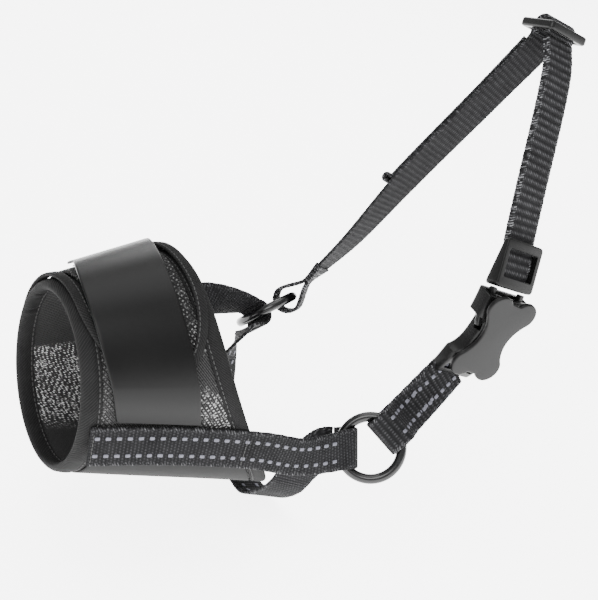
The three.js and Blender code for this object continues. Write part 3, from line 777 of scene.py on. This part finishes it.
WEBBING = 20
PLY = 1.7
DOUBLE_PLY = 3.4
RING_RADIUS = 15.5
RING_WIRE = 2.5
FOLD_RADIUS = 6.5
FOLD_SHIFT = 1.8
LOOP_SLACK = 0.4
DASH_ROWS = (-4.5, 4.5)
DASH_LIFT = 0.02
SEAM_LIFT = 0.12


def box_middle(node):
    low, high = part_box(node)
    return np.array((low + high) / 2) / MM


NEAR_RING = {"centre": box_middle("near_ring"), "axis": unit(vec(-0.537, -0.739, 0.407))}
FAR_RING = {"centre": box_middle("far_ring"), "axis": unit(vec(-0.262, 0.605, 0.752))}


def curve_points(points, t):
    """A centripetal Catmull-Rom curve through the points, at shares t of it."""
    points = np.array(points, float)
    spans = len(points) - 1
    padded = np.vstack([2 * points[0] - points[1], points, 2 * points[-1] - points[-2]])
    at = np.clip(np.asarray(t, float) * spans, 0, spans - 1e-9)
    index = np.floor(at).astype(int)
    w = (at - index)[:, None]
    p = [padded[index + k] for k in range(4)]
    d = [np.maximum(np.linalg.norm(p[k + 1] - p[k], axis=1), 1e-9)[:, None] ** 0.5
         for k in range(3)]
    t1 = (p[1] - p[0]) / d[0] - (p[2] - p[0]) / (d[0] + d[1]) + (p[2] - p[1]) / d[1]
    t2 = (p[2] - p[1]) / d[1] - (p[3] - p[1]) / (d[1] + d[2]) + (p[3] - p[2]) / d[2]
    t1, t2 = t1 * d[1], t2 * d[1]
    c2 = -3 * p[1] + 3 * p[2] - 2 * t1 - t2
    c3 = 2 * p[1] - 2 * p[2] + t1 + t2
    return p[1] + w * (t1 + w * (c2 + w * c3))


class Route:
    """A band's middle line, evenly spaced, with its width and outward directions."""

    def __init__(self, points, widths, step, start=0.0, end=1.0):
        t = np.linspace(start, end, 3000)
        lengths = arc_lengths(curve_points(points, t))
        count = max(8, round(lengths[-1] / step))
        self.s = np.linspace(0, lengths[-1], count + 1)
        t = np.interp(self.s, lengths, t)
        self.middle = curve_points(points, t)
        self.forward = unit(curve_points(points, t + 1e-4) - curve_points(points, t - 1e-4))
        at = np.clip(t * (len(points) - 1), 0, len(points) - 1 - 1e-9)
        index = np.floor(at).astype(int)
        widths = np.array(widths, float)
        side = lerp(widths[index], widths[index + 1], (at - index)[:, None])
        self.side = unit(side - dot(side, self.forward) * self.forward)
        self.out = np.cross(self.side, self.forward)
        self.length = lengths[-1]

    def at(self, s):
        """The middle and the forward, side and outward directions at a length."""
        turned = (unit(sample(s, self.s, v)) for v in (self.forward, self.side, self.out))
        return sample(s, self.s, self.middle), *turned


def webbing_section(width, thickness):
    """How far across and how high each point of a webbing's closed section is."""
    r, count, end_radius = thickness / 2, 23, 0.7
    flat_half = width / 2 - end_radius
    flat = np.linspace(-flat_half, flat_half, count)
    end = np.radians([65, 35, 0, -35, -65])
    edge = flat_half + end_radius * np.cos(end)
    across = np.concatenate([flat, edge, flat[::-1], -edge])
    height = np.concatenate([np.full(count, r), r * np.sin(end),
                             np.full(count, -r), -r * np.sin(end)])
    return across, height


def add_webbing(name, route, width, thickness, rib, material, body, node=None, plies=1,
                relief=0.16, fray=0.0):
    """Webbing with its ribs, its looped edges and, where it is doubled, the gap between the two
    layers, all in the mesh. A webbing given no body is left unattached."""
    across, height = webbing_section(width, thickness)
    s = route.s[:, None]
    crest = 0.5 - 0.5 * np.cos(2 * np.pi * s / rib)
    edge = smoothstep(np.abs(across), width / 2 - 1.4, width / 2)[None, :]
    strand = 0.5 - 0.5 * np.cos(2 * np.pi * across / 1.5)[None, :]
    swell = relief * (crest - 0.6) * (1 - 0.5 * edge) + 0.05 * (strand - 0.5) * (1 - edge)
    h = height[None, :] + np.sign(height)[None, :] * swell
    scallop = 0.14 * np.sin(2 * np.pi * s / (rib / 2)) + 0.08 * np.sin(s * 0.9)
    rough = fray * rng.normal(0, 1, (len(route.s), len(across)))
    a = across[None, :] + np.sign(across)[None, :] * edge * scallop + rough * edge
    if plies == 2:
        notch = np.exp(-(height / (thickness * 0.12)) ** 2)[None, :]
        a = a - np.sign(across)[None, :] * notch * edge * 0.75
    h = h + fray * 0.6 * rng.normal(0, 1, h.shape)
    points = (route.middle[:, None] + route.side[:, None] * a[..., None]
              + route.out[:, None] * h[..., None])
    flat_t = np.broadcast_to(across * WEBBING / width, a.shape)
    piece = tube_object(name, points, band_cloth(s, flat_t, np.sign(h)), material)
    if node is not None:
        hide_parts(node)
    if body is not None:
        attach(piece, body)
    return piece


def add_dashes(name, route, thickness, start, end, body, outward, pitch=5.2):
    """Two rows of reflective dashes woven into a webbing."""
    places = []
    for row in DASH_ROWS:
        for k in range(int((end - start) / pitch) + 1):
            middle, forward, side, out = route.at(start + k * pitch)
            out = out * outward
            spot = middle + side * row + out * (thickness / 2 + DASH_LIFT)
            turned = unit(forward + side * rng.normal(0, 0.03))
            size = rng.normal(1, 0.05)
            places.append(np.column_stack([turned * size, np.cross(out, turned), out, spot]))
    return place(scatter(name, DASH, places, REFLECTIVE), body)


def add_seam(name, route, thickness, at, body, outward, material):
    """Rows of stitches across a webbing, at distances along it."""
    count, half, pitch = 60, 8.0, 2.1
    places = []
    for s in at:
        middle, _, side, out = route.at(s)
        for sign in outward:
            spread = np.linspace(-half, half, count)[:, None]
            line = middle + side * spread + out * sign * (thickness / 2 + SEAM_LIFT)
            places += thread_places(line, np.repeat((out * sign)[None], count, 0), pitch, 0.09)
    return place(scatter(name, STITCH, places, material), body)


def half_turn(contact, tangent, arrival, radius):
    """Points of a webbing's turn round a ring's wire, back to where it came from."""
    forward = unit(arrival - np.dot(arrival, tangent) * tangent)
    outward = np.cross(tangent, forward)
    angles = np.radians(np.linspace(0, 180, 7))
    return [contact + outward * radius * math.cos(a) + forward * radius * math.sin(a)
            for a in angles]


def ring_turn(ring, direction):
    """Where webbing turns round the ring's wire on the side of a direction, and the
    wire's own direction there."""
    facing = unit(direction - np.dot(direction, ring["axis"]) * ring["axis"])
    return ring["centre"] + facing * (RING_RADIUS - FOLD_SHIFT), unit(np.cross(facing, ring["axis"]))


def upward(direction):
    return -direction if direction[2] < 0 else direction


SIDE_LIFT = SLEEVE_WALL / 2 + BINDING_WALL / 2 + PLY / 2
NEAR_SIDE = [vec(-52, -30 - SIDE_LIFT, -20.5), vec(-12, -39.4 - SIDE_LIFT, -23),
             vec(29, -48.6 - SIDE_LIFT, -28.5), vec(54, -54.5, -36)]
FAR_SIDE = [vec(-46, 39.6 + SIDE_LIFT, -16), vec(-12, 43.6 + SIDE_LIFT, -16),
            vec(27, 49.4 + SIDE_LIFT, -9), vec(53, 54.5, -1)]
THROAT = [vec(69, -36.5, -54), vec(65, -27, -72), vec(64, -4, -86), vec(64, 25, -74),
          vec(67, 42, -40)]
THROAT_WIDTHS = [vec(-0.55, 0.1, 0.8), vec(-0.85, 0, 0.5), vec(-0.95, 0, 0.2),
                 vec(-0.85, 0, 0.4), vec(-0.6, -0.1, 0.8)]


def side_fold(ring, direction, arrival, sign):
    """The webbing's turn round a ring, the point it leaves to, and its width there."""
    contact, tangent = ring_turn(ring, direction)
    fold = half_turn(contact, upward(tangent) * sign, arrival, FOLD_RADIUS)
    lead = fold[-1] + unit(fold[-1] - fold[-2]) * 6
    return fold, lead, upward(tangent)


def add_side_webbing():
    near = side_fold(NEAR_RING, vec(-0.834, 0.536, -0.127), vec(1, 0.08, -0.1), -1)
    far = side_fold(FAR_RING, vec(-0.946, -0.312, -0.078), vec(1, 0, -0.25), 1)
    up = vec(0, 0, 1)
    dash_start, dash_gap, seams = 3.4, 27, (1.6, 76.0)
    for name, points, (fold, _, width), outward in (("near", NEAR_SIDE, near, -1),
                                                     ("far", FAR_SIDE, far, 1)):
        route = Route(points + fold, [up] * len(points) + [width] * len(fold), 0.36)
        add_webbing(f"{name}_side_webbing", route, WEBBING, PLY, 1.75, SIDE_WEB, "muzzle",
                    f"{name}_side_strap", relief=0.12)
        add_dashes(f"{name}_side_dashes", route, PLY, dash_start, route.length - dash_gap,
                   "muzzle", outward)
        add_seam(f"{name}_side_seam", route, PLY, seams, "muzzle", (outward,), DARK_THREAD)
    points = [*near[0][-2:], near[1], *THROAT, far[1], *far[0][-2:][::-1]]
    widths = [near[2]] * 3 + THROAT_WIDTHS + [far[2]] * 3
    cut_back = 1.4 / (len(points) - 1)
    route = Route(points, widths, 0.4, cut_back, 1 - cut_back)
    add_webbing("throat_webbing", route, WEBBING, PLY, 2.1, SIDE_WEB, "muzzle", "throat_strap",
                relief=0.16)
    _, _, _, out = route.at(route.length / 2)
    inward = 1 if out[2] > 0 else -1
    add_dashes("throat_dashes", route, PLY, 9.0, route.length - 9, "muzzle", inward)


def add_ring(name, node, ring, body):
    major, minor = 144, 32
    across = unit(np.cross(ring["axis"], vec(0, 0, 1)))
    other = np.cross(ring["axis"], across)
    a = 2 * np.pi * np.arange(major)[:, None] / major
    b = 2 * np.pi * np.arange(minor)[None, :] / minor
    radial = (np.cos(a)[..., None] * across + np.sin(a)[..., None] * other)
    radius = (RING_RADIUS + RING_WIRE * np.cos(b))[..., None]
    points = ring["centre"] + radial * radius + ring["axis"] * (RING_WIRE * np.sin(b))[..., None]
    piece = tube_object(name, points, ring_cloth(points, 0.0), METAL, closed=True)
    return place(piece, body, node)


# --------------------------------------------------------------------- buckle

BONE = {"length": 48, "width": 32.4, "lobe": 7.4, "thickness": 2.2}
SOCKET = {"half_width": 15.8, "waist": 9.6, "thickness": 10.4, "arc": 78, "depth": 8.2,
          "low": -30, "high": 20.5}
PLUG = {"width": 27, "length": 24.6, "tip": 3, "root": 9, "tilt": 25}
PRONG = {"width": 3.2, "thickness": 3, "length": 19.5, "reach": 13.3, "root": 2.5, "inner": 8.6}
RELEASE_TILT = 14
SLIDE = {"width": 28, "length": 23, "thickness": 4.6, "bar": 3.4, "slot": 6.9}


class Place:
    """A frame of its own, in millimetres: points given in it come out in the part's."""

    def __init__(self, matrix):
        self.matrix = matrix

    @classmethod
    def axes(cls, centre, x, y):
        across = unit(x)
        forward = unit(y - np.dot(y, across) * across)
        matrix = np.eye(4)
        matrix[:3] = np.column_stack([across, forward, np.cross(across, forward), centre])
        return cls(matrix)

    def inside(self, x, y, z, tilt):
        a = math.radians(tilt)
        local = np.eye(4)
        local[:3] = [[1, 0, 0, x], [0, math.cos(a), -math.sin(a), y],
                     [0, math.sin(a), math.cos(a), z]]
        return Place(self.matrix @ local)

    def points(self, local):
        local = np.asarray(local, float)
        return local @ self.matrix[:3, :3].T + self.matrix[:3, 3]

    def point(self, *local):
        return self.points(vec(*local))

    def direction(self, *local):
        return unit(self.matrix[:3, :3] @ vec(*local))


class Outline:
    """A flat closed outline made of lines, arcs and quadratic curves."""

    def __init__(self, x, y):
        self.points = [(x, y)]

    def line(self, x, y):
        self.points.append((x, y))
        return self

    def arc(self, cx, cy, radius, start, end, steps=22):
        for a in np.radians(np.linspace(start, end, steps)):
            self.points.append((cx + radius * math.cos(a), cy + radius * math.sin(a)))
        return self

    def quad(self, cx, cy, x, y, steps=14):
        x0, y0 = self.points[-1]
        for t in np.linspace(0, 1, steps + 1)[1:]:
            self.points.append(((1 - t) ** 2 * x0 + 2 * t * (1 - t) * cx + t * t * x,
                                (1 - t) ** 2 * y0 + 2 * t * (1 - t) * cy + t * t * y))
        return self

    def array(self):
        points = np.array(self.points)
        keep = np.linalg.norm(points - np.roll(points, 1, axis=0), axis=1) > 1e-3
        return points[keep]


def rounded_rectangle(half_width, half_length, radius, y=0.0, steps=7):
    outline = Outline(-half_width + radius, y - half_length)
    x, rise = half_width - radius, half_length - radius
    for start, across, up in ((-90, x, -rise), (0, x, rise), (90, -x, rise), (180, -x, -rise)):
        outline.arc(across, y + up, radius, start, start + 90, steps)
    return outline.array()


def inward_normals(outline):
    forward = unit(np.roll(outline, -1, axis=0) - np.roll(outline, 1, axis=0))
    normal = np.stack([-forward[:, 1], forward[:, 0]], 1)
    x, y = outline[:, 0], outline[:, 1]
    area = np.sum(x * np.roll(y, -1) - np.roll(x, -1) * y)
    return normal if area > 0 else -normal


def plate_object(name, outline, layers, where, material, shift=None):
    """A plate: the outline drawn inward by each layer's inset at its height, capped at
    both ends. shift(x, y) adds to the height."""
    normal = inward_normals(outline)
    rows = []
    for inset, z in layers:
        flat = outline + normal * inset
        height = z + (shift(flat[:, 0], flat[:, 1]) if shift else 0)
        rows.append(np.column_stack([flat, np.broadcast_to(height, len(flat))]))
    points = where.points(np.array(rows))
    cloth = np.zeros((len(layers), len(outline) + 1, 3))
    return tube_object(name, points, cloth, material, smooth_angle=40)


def rounded_layers(low, high, radius, steps=5):
    a = np.radians(np.linspace(0, 90, steps))
    rise = [(radius * (1 - math.sin(k)), low + radius * (1 - math.cos(k))) for k in a]
    fall = [(inset, high + low - z) for inset, z in rise[::-1]]
    return rise + fall


def loft_object(name, ys, half_width, low, high, radius, where, material, end_radius=0.8):
    """Rounded rectangular sections at each y. half_width, low and high are functions."""
    corner = np.radians(np.linspace(0, 90, 6))
    ends = np.minimum(ys - ys[0], ys[-1] - ys)
    near = np.clip(ends / end_radius, 0, 1)
    inset = end_radius * (1 - np.sqrt(np.clip(1 - (1 - near) ** 2, 0, 1)))
    rows = []
    for y, shrink in zip(ys, inset):
        w, a, b = half_width(y) - shrink, low(y) + shrink, high(y) - shrink
        r = min(radius, w * 0.9, (b - a) * 0.48)
        section = []
        for cx, cz, turned in ((w - r, b - r, 0), (-w + r, b - r, 90),
                               (-w + r, a + r, 180), (w - r, a + r, 270)):
            for k in corner + math.radians(turned):
                section.append((cx + r * math.cos(k), y, cz + r * math.sin(k)))
        rows.append(section)
    points = where.points(np.array(rows))
    cloth = np.zeros((len(ys), points.shape[1] + 1, 3))
    return tube_object(name, points, cloth, material, smooth_angle=45)


def cut(piece, cutters):
    """Cuts the cutters out of the piece, and removes them."""
    for cutter in cutters:
        modifier = piece.modifiers.new("cut", "BOOLEAN")
        modifier.operation = "DIFFERENCE"
        modifier.solver = "EXACT"
        modifier.object = cutter
    bpy.context.view_layer.update()
    evaluated = piece.evaluated_get(bpy.context.evaluated_depsgraph_get())
    mesh = bpy.data.meshes.new_from_object(evaluated)
    piece.modifiers.clear()
    piece.data = mesh
    smooth(mesh, 38)
    for cutter in cutters:
        bpy.data.objects.remove(cutter)


BUCKLE = Place.axes(vec(157, -62, 14.7), vec(0.937, -0.003, -0.348), vec(0.338, -0.196, 0.919))
SLIDE_FRAME = Place.axes(vec(215, 0, 153.5), vec(0.92, -0.03, -0.39), vec(-0.052, 0.978, -0.191))


def socket_depth(y):
    """The socket's middle behind the bone plate: it bows away along an arc."""
    return -SOCKET["depth"] - SOCKET["arc"] + math.sqrt(SOCKET["arc"] ** 2 - y * y)


MOUTH_DEPTH = socket_depth(SOCKET["high"])
RELEASE = BUCKLE.inside(0, SOCKET["high"], MOUTH_DEPTH, -RELEASE_TILT)
PLUG_FRAME = BUCKLE.inside(0, 23.6, MOUTH_DEPTH - 1, -PLUG["tilt"])


def bone_outline():
    lobe = BONE["lobe"]
    x, y = BONE["width"] / 2 - lobe, BONE["length"] / 2 - lobe
    waist = BONE["width"] * 0.29
    outline = Outline(0, y + lobe * 0.62)
    outline.arc(x, y, lobe, 142, -48, 40).quad(waist, y * 0.35, waist, 0)
    outline.quad(waist, -y * 0.35, x + lobe * 0.67, -y + lobe * 0.74)
    outline.arc(x, -y, lobe, 48, -142, 40).line(0, -y - lobe * 0.62)
    outline.arc(-x, -y, lobe, -38, -228, 40).quad(-waist, -y * 0.35, -waist, 0)
    outline.quad(-waist, y * 0.35, -x - lobe * 0.67, y - lobe * 0.74)
    return outline.arc(-x, y, lobe, 228, 38, 40).array()


def add_bone_plate():
    thick = BONE["thickness"]
    layers = [(0.5, -thick), (0.12, -thick + 0.12), (0, -thick + 0.4), (0, -0.75), (0.06, -0.42),
              (0.22, -0.18), (0.5, -0.05), (0.85, 0.0), (1.6, 0.04)]
    piece = plate_object("bone_cover", bone_outline(), layers, BUCKLE, BONE_PLASTIC)
    return place(piece, "neck_anchor", "bone_plate")


def socket_half_width(y):
    half, waist = SOCKET["half_width"], SOCKET["waist"]
    outline = Outline(12.4, SOCKET["low"])
    outline.quad(14, -20, half - 2, -15).quad(waist, -12, waist, -5).line(waist, 5)
    outline.quad(waist + 1, 7.5, half, 8.5).line(half, SOCKET["high"])
    points = np.array(outline.points)
    return float(np.interp(y, points[:, 1], points[:, 0]))


def add_socket():
    def thin(y):
        return SOCKET["thickness"] / 2 - 1.4 * float(smoothstep(-y, 8, 28))

    low, high = SOCKET["low"], SOCKET["high"]
    ys = np.unique(np.concatenate([np.linspace(low, high, 96), np.linspace(low, low + 1, 8),
                                   np.linspace(5, 9, 26), np.linspace(19.4, high, 8)]))
    piece = loft_object("socket_body", ys, socket_half_width,
                        lambda y: socket_depth(y) - thin(y), lambda y: socket_depth(y) + thin(y),
                        2.4, BUCKLE, BODY_PLASTIC)
    half = PRONG["reach"] + 0.8
    bottom = -PRONG["length"] - 1
    channel = plate_object("channel", np.array([(-half, bottom), (half, bottom), (half, 40),
                                                (-half, 40)]),
                           [(0, -2.3), (0, 2.3)], RELEASE, BODY_PLASTIC)
    slot = plate_object("slot", rounded_rectangle(10.5, 2.1, 0.9, -24.4),
                        [(0, socket_depth(low) - 15), (0, socket_depth(low) + 15)], BUCKLE,
                        BODY_PLASTIC)
    cut(piece, [channel, slot])
    return place(piece, "neck_anchor", "buckle_socket")


def add_plug():
    length, half, corner = PLUG["length"], PLUG["width"] / 2, 2.5

    def half_width(y):
        end = corner - min(corner, y, length - y)
        return half - (corner - math.sqrt(max(0, corner * corner - end * end)))

    ys = np.unique(np.concatenate([np.linspace(0, length, 60), np.linspace(0, corner, 14),
                                   np.linspace(length - corner, length, 14)]))
    piece = loft_object("plug_body", ys, half_width,
                        lambda y: lerp(-PLUG["root"] / 2, 1.2, y / length),
                        lambda y: lerp(PLUG["root"] / 2, 1.2 + PLUG["tip"], y / length),
                        1.1, PLUG_FRAME, PLUG_PLASTIC, end_radius=0.6)
    window = plate_object("window", rounded_rectangle(10.4, 7.4, 1.2, 12.6), [(0, -9), (0, 9)],
                          PLUG_FRAME, PLUG_PLASTIC)
    cut(piece, [window])
    return place(piece, "neck_strap", "buckle_plug")


def add_prong(name, node, side, body):
    inner, outer = side * PRONG["inner"], side * (PRONG["inner"] + PRONG["width"])
    outline = Outline(inner, PRONG["root"]).line(inner, -PRONG["length"] + 1)
    outline.line(side * 11, -PRONG["length"] + 1)
    outline.quad(side * (PRONG["reach"] + 0.4), -14, outer, -9).line(outer, PRONG["root"])
    half = PRONG["thickness"] / 2
    piece = plate_object(name, outline.array(), rounded_layers(-half, half, 0.6), RELEASE,
                         BODY_PLASTIC)
    return place(piece, body, node)


def add_slide():
    shape = rounded_rectangle(SLIDE["width"] / 2, SLIDE["length"] / 2, 2.4, steps=9)
    slot_half, through = (WEBBING / 2 + 0.6, SLIDE["slot"] / 2), [(0, -9), (0, 9)]
    half = SLIDE["thickness"] / 2
    piece = plate_object("slide_frame", shape, rounded_layers(-half, half, 1.3, 7), SLIDE_FRAME,
                         SLIDE_PLASTIC)
    cutters = []
    for side in (-1, 1):
        middle = side * (SLIDE["bar"] + SLIDE["slot"]) / 2
        cutters.append(plate_object("slot", rounded_rectangle(*slot_half, 0.8, middle), through,
                                    SLIDE_FRAME, SLIDE_PLASTIC))
    cut(piece, cutters)
    return place(piece, "adjuster", "neck_slide")


# ---------------------------------------------------------------- neck webbing


def loop_route(contact, tangent, away, end, end_width, end_normal):
    """A webbing that comes from its end, turns round a ring's wire and goes back."""
    back = -away
    fold = half_turn(contact, tangent, back, FOLD_RADIUS + LOOP_SLACK)
    outward = unit(np.cross(tangent, back))
    layer = PLY / 2 + 0.2
    middle = contact + away * 13
    offset = end_normal * np.sign(np.dot(end_normal, outward)) * layer
    points = [end + offset, middle + outward * layer, *fold, middle - outward * layer, end - offset]
    side = end_width * np.sign(np.dot(end_width, tangent))
    widths = [side, tangent] + [tangent] * len(fold) + [tangent, side]
    return Route(points, widths, 0.36)


def add_tab():
    aim = BUCKLE.point(0, -35.8, socket_depth(SOCKET["low"]) - 0.8)
    contact, tangent = ring_turn(NEAR_RING, aim - NEAR_RING["centre"])
    away = unit(aim - contact)
    end = BUCKLE.point(0, -26.5, socket_depth(-27) - 0.4)
    route = loop_route(contact, tangent, away, end,
                       BUCKLE.direction(1, 0, 0), BUCKLE.direction(0, 0, 1))
    add_webbing("tab_webbing", route, WEBBING, PLY, 2.9, TAB_WEB, "neck_anchor", "buckle_tab")
    outside = BUCKLE.direction(0, 0, 1)
    middle, fold_gap, end_gap = route.length / 2, 11, 2.5
    for name, low, high in (("tab_dashes_a", end_gap, middle - fold_gap),
                            ("tab_dashes_b", middle + fold_gap, route.length - end_gap)):
        _, _, _, out = route.at((low + high) / 2)
        facing = 1 if np.dot(out, outside) > 0 else -1
        add_dashes(name, route, PLY, low, high, "neck_anchor", facing, pitch=5.0)


def add_near_neck():
    """Returns how far the webbing's turn stands from the slide's middle bar."""
    fold = (DOUBLE_PLY + SLIDE["bar"]) / 2 + 1.3
    turned = [SLIDE_FRAME.point(0, -fold, -4)]
    for k in range(7):
        a = math.pi * k / 6
        turned.append(SLIDE_FRAME.point(0, -fold * math.cos(a), fold * math.sin(a)))
    turned.append(SLIDE_FRAME.point(0, fold, -4))
    width = SLIDE_FRAME.direction(1, 0, 0)
    route = Route(turned, [width] * len(turned), 0.3)
    add_webbing("slide_turn", route, WEBBING, DOUBLE_PLY, 2.0, LOOP_WEB, "neck_strap",
                "slide_fold", plies=2, fray=0.03)
    plug_width = PLUG_FRAME.direction(1, 0, 0)
    points = [SLIDE_FRAME.point(0, -fold - 0.6, -4.9), SLIDE_FRAME.point(0, -fold - 7, -20),
              PLUG_FRAME.point(0, 48, -3.4), PLUG_FRAME.point(0, PLUG["length"], -1.6),
              PLUG_FRAME.point(0, 14, 0.2), PLUG_FRAME.point(0, 3.6, 0.2)]
    route = Route(points, [width, width, *[plug_width] * 4], 0.4)
    add_webbing("near_neck_webbing", route, WEBBING, DOUBLE_PLY, 3.9, NECK_WEB, "neck_strap",
                "near_neck_strap", plies=2, relief=0.3)
    return fold


FAR_POINTS = [vec(193, 12, 119), vec(158, 29, 66), vec(137, 40, 30)]
FAR_WIDTHS = [vec(0.88, 0.05, -0.47), vec(0.832, 0.173, -0.527), vec(0.75, 0.4, -0.5)]
FAR_END_WIDTH = vec(0.72, 0.56, -0.42)
TAIL_SHARE = 0.52


def add_far_neck(fold):
    """The strap, its sewn loop and its tail. The strap and tail are attached to no body, because the
    neck loop is closed and the joints' tree is not."""
    lowest = FAR_POINTS[-1]
    contact, tangent = ring_turn(FAR_RING, lowest - FAR_RING["centre"])
    away = unit(lowest - contact)
    end = contact + away * 25
    width = unit(FAR_END_WIDTH)
    route = loop_route(contact, tangent, away, end, width, unit(np.cross(width, away)))
    add_webbing("far_loop", route, WEBBING, PLY, 2.2, LOOP_WEB, "neck_anchor", "far_ring_loop",
                fray=0.07)
    add_seam("far_loop_seam", route, PLY, (4.0, 7.0, route.length - 7.0, route.length - 4.0),
             "neck_anchor", (1, -1), PALE_THREAD)
    points = [SLIDE_FRAME.point(0, fold + 1.2, -6.2), *FAR_POINTS, end + away * 1.4]
    slide_width = SLIDE_FRAME.direction(1, 0, 0)
    widths = [slide_width, *FAR_WIDTHS, width]
    route = Route([SLIDE_FRAME.point(0, fold, 0), *points[:-1], end - away * 1.5],
                  [slide_width, *widths], 0.42)
    strap = add_webbing("far_neck_webbing", route, WEBBING, PLY, 3.0, FAR_WEB, None,
                        "far_neck_strap")
    forward = [unit(points[min(i + 1, 4)] - points[max(i - 1, 0)]) for i in range(5)]
    lifted = [p + unit(np.cross(w, f)) * (PLY + 0.7) for p, w, f in zip(points, widths, forward)]
    tail_route = Route(lifted, widths, 0.42, 0.03, TAIL_SHARE)
    tail = add_webbing("tail_webbing", tail_route, WEBBING - 1, PLY, 3.0, FAR_WEB, None,
                       "strap_tail")
    start, stop = tuple(lowest * MM), tuple(SLIDE_FRAME.point(0, fold, -6) * MM)
    for piece in (strap, tail):
        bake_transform(piece)
    middle, ahead, side, out = tail_route.at(tail_route.length)
    roll = []
    radius = 2.0
    for a in np.radians(np.arange(-90, 231, 40)):
        roll.append(middle + ahead * (1.2 + radius * math.cos(a))
                    + out * (2.2 + radius * math.sin(a)))
    roll_route = Route(roll, [side] * len(roll), 0.3)
    rolled = add_webbing("tail_roll", roll_route, WEBBING - 1, PLY * 0.9, 2.0, LOOP_WEB, None,
                         fray=0.05)
    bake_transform(rolled)


# ------------------------------------------------------------ floor and lights


FLOOR_GAP = 0.0015
FLOOR_GLOW = 5.0
ROOM_GLOW = 1.1


def add_floor():
    z = CAD_BOX[0][2] - FLOOR_GAP
    count, size = 24, 14
    grid = np.linspace(-size, size, count)
    vertices = [(x / MM, y / MM, z / MM) for x in grid for y in grid]
    faces = [[i * count + j, (i + 1) * count + j, (i + 1) * count + j + 1, i * count + j + 1]
             for i in range(count - 1) for j in range(count - 1)]
    m = Shader("pale_floor", 0.9)
    cloud = m.noise(3.0)
    m.colour(cloud, (0.88, 0.88, 0.88), (0.92, 0.92, 0.92))
    m.bsdf.inputs["Emission Color"].default_value = (1, 1, 1, 1)
    m.bsdf.inputs["Emission Strength"].default_value = FLOOR_GLOW
    make_object("floor", vertices, faces, m.material)


def add_light(name, position, target, size, power):
    data = bpy.data.lights.new(name, "AREA")
    data.shape = "RECTANGLE"
    data.size = size
    data.size_y = size
    data.energy = power
    light = bpy.data.objects.new(name, data)
    bpy.context.scene.collection.objects.link(light)
    light.location = position
    aim = Vector(target) - Vector(position)
    light.rotation_euler = aim.to_track_quat("-Z", "Y").to_euler()


def add_studio():
    world = bpy.data.worlds.new("studio")
    bpy.context.scene.world = world
    world.use_nodes = True
    background = world.node_tree.nodes["Background"]
    background.inputs[0].default_value = (1, 1, 1, 1)
    background.inputs[1].default_value = ROOM_GLOW
    add_light("key", (-0.55, -0.75, 0.95), (0.03, -0.02, 0.0), 0.7, 14)
    add_light("top", (0.1, 0.1, 1.2), (0.05, 0, 0), 0.9, 10)
    add_light("back", (0.6, 0.9, 0.7), (0.08, 0, 0.02), 0.6, 7)


AZIMUTH, ELEVATION, ROLL = -36, 24, 8
SENSOR = 36
FOCAL_SHARE = 1672 / 600
CAMERA_POSITION = (-0.3719, -0.6201, 0.3612)


def add_camera():
    az, el, roll = (math.radians(v) for v in (AZIMUTH, ELEVATION, ROLL))
    right0 = Vector((math.cos(az), math.sin(az), 0))
    up0 = Vector((-math.sin(az) * math.sin(el), math.cos(az) * math.sin(el), math.cos(el)))
    right = right0 * math.cos(roll) + up0 * math.sin(roll)
    up = up0 * math.cos(roll) - right0 * math.sin(roll)
    back = Vector((math.sin(az) * math.cos(el), -math.cos(az) * math.cos(el), math.sin(el)))
    data = bpy.data.cameras.new("camera")
    data.sensor_width = SENSOR
    data.lens = FOCAL_SHARE * SENSOR
    camera = bpy.data.objects.new("camera", data)
    bpy.context.scene.collection.objects.link(camera)
    rotation = Matrix((right, up, back)).transposed().to_4x4()
    camera.matrix_world = Matrix.Translation(CAMERA_POSITION) @ rotation
    bpy.context.scene.camera = camera


# ------------------------------------------------------------------- assembly

add_camera()
add_floor()
add_studio()

sleeve = add_sleeve()
front_pieces = add_binding("front_edge_binding", "front_binding", 0,
                           wrinkles=[(17, 0.07, 0.4), (29, 0.06, 1.7), (47, 0.045, 0.9)],
                           creases=[(128, 1.6, 0.7), (150, 1.4, 0.6), (112, 2.2, 0.35)])
rear_pieces = add_binding("rear_edge_binding", "rear_binding", 1,
                          wrinkles=[(13, 0.06, 2.0), (37, 0.05, 0.3)],
                          creases=[(205, 2.0, 0.3)])
chin = add_chin_panel()
flap = add_flap()
flap_pieces = add_flap_binding()
closure = add_closure()
add_side_webbing()
add_ring("near_ring_wire", "near_ring", NEAR_RING, "near_ring")
add_ring("far_ring_wire", "far_ring", FAR_RING, "far_ring")
add_bone_plate()
add_socket()
add_plug()
add_prong("prong_left_arm", "release_prong_left", -1, "prong_left")
add_prong("prong_right_arm", "release_prong_right", 1, "prong_right")
add_slide()
add_tab()
add_far_neck(add_near_neck())
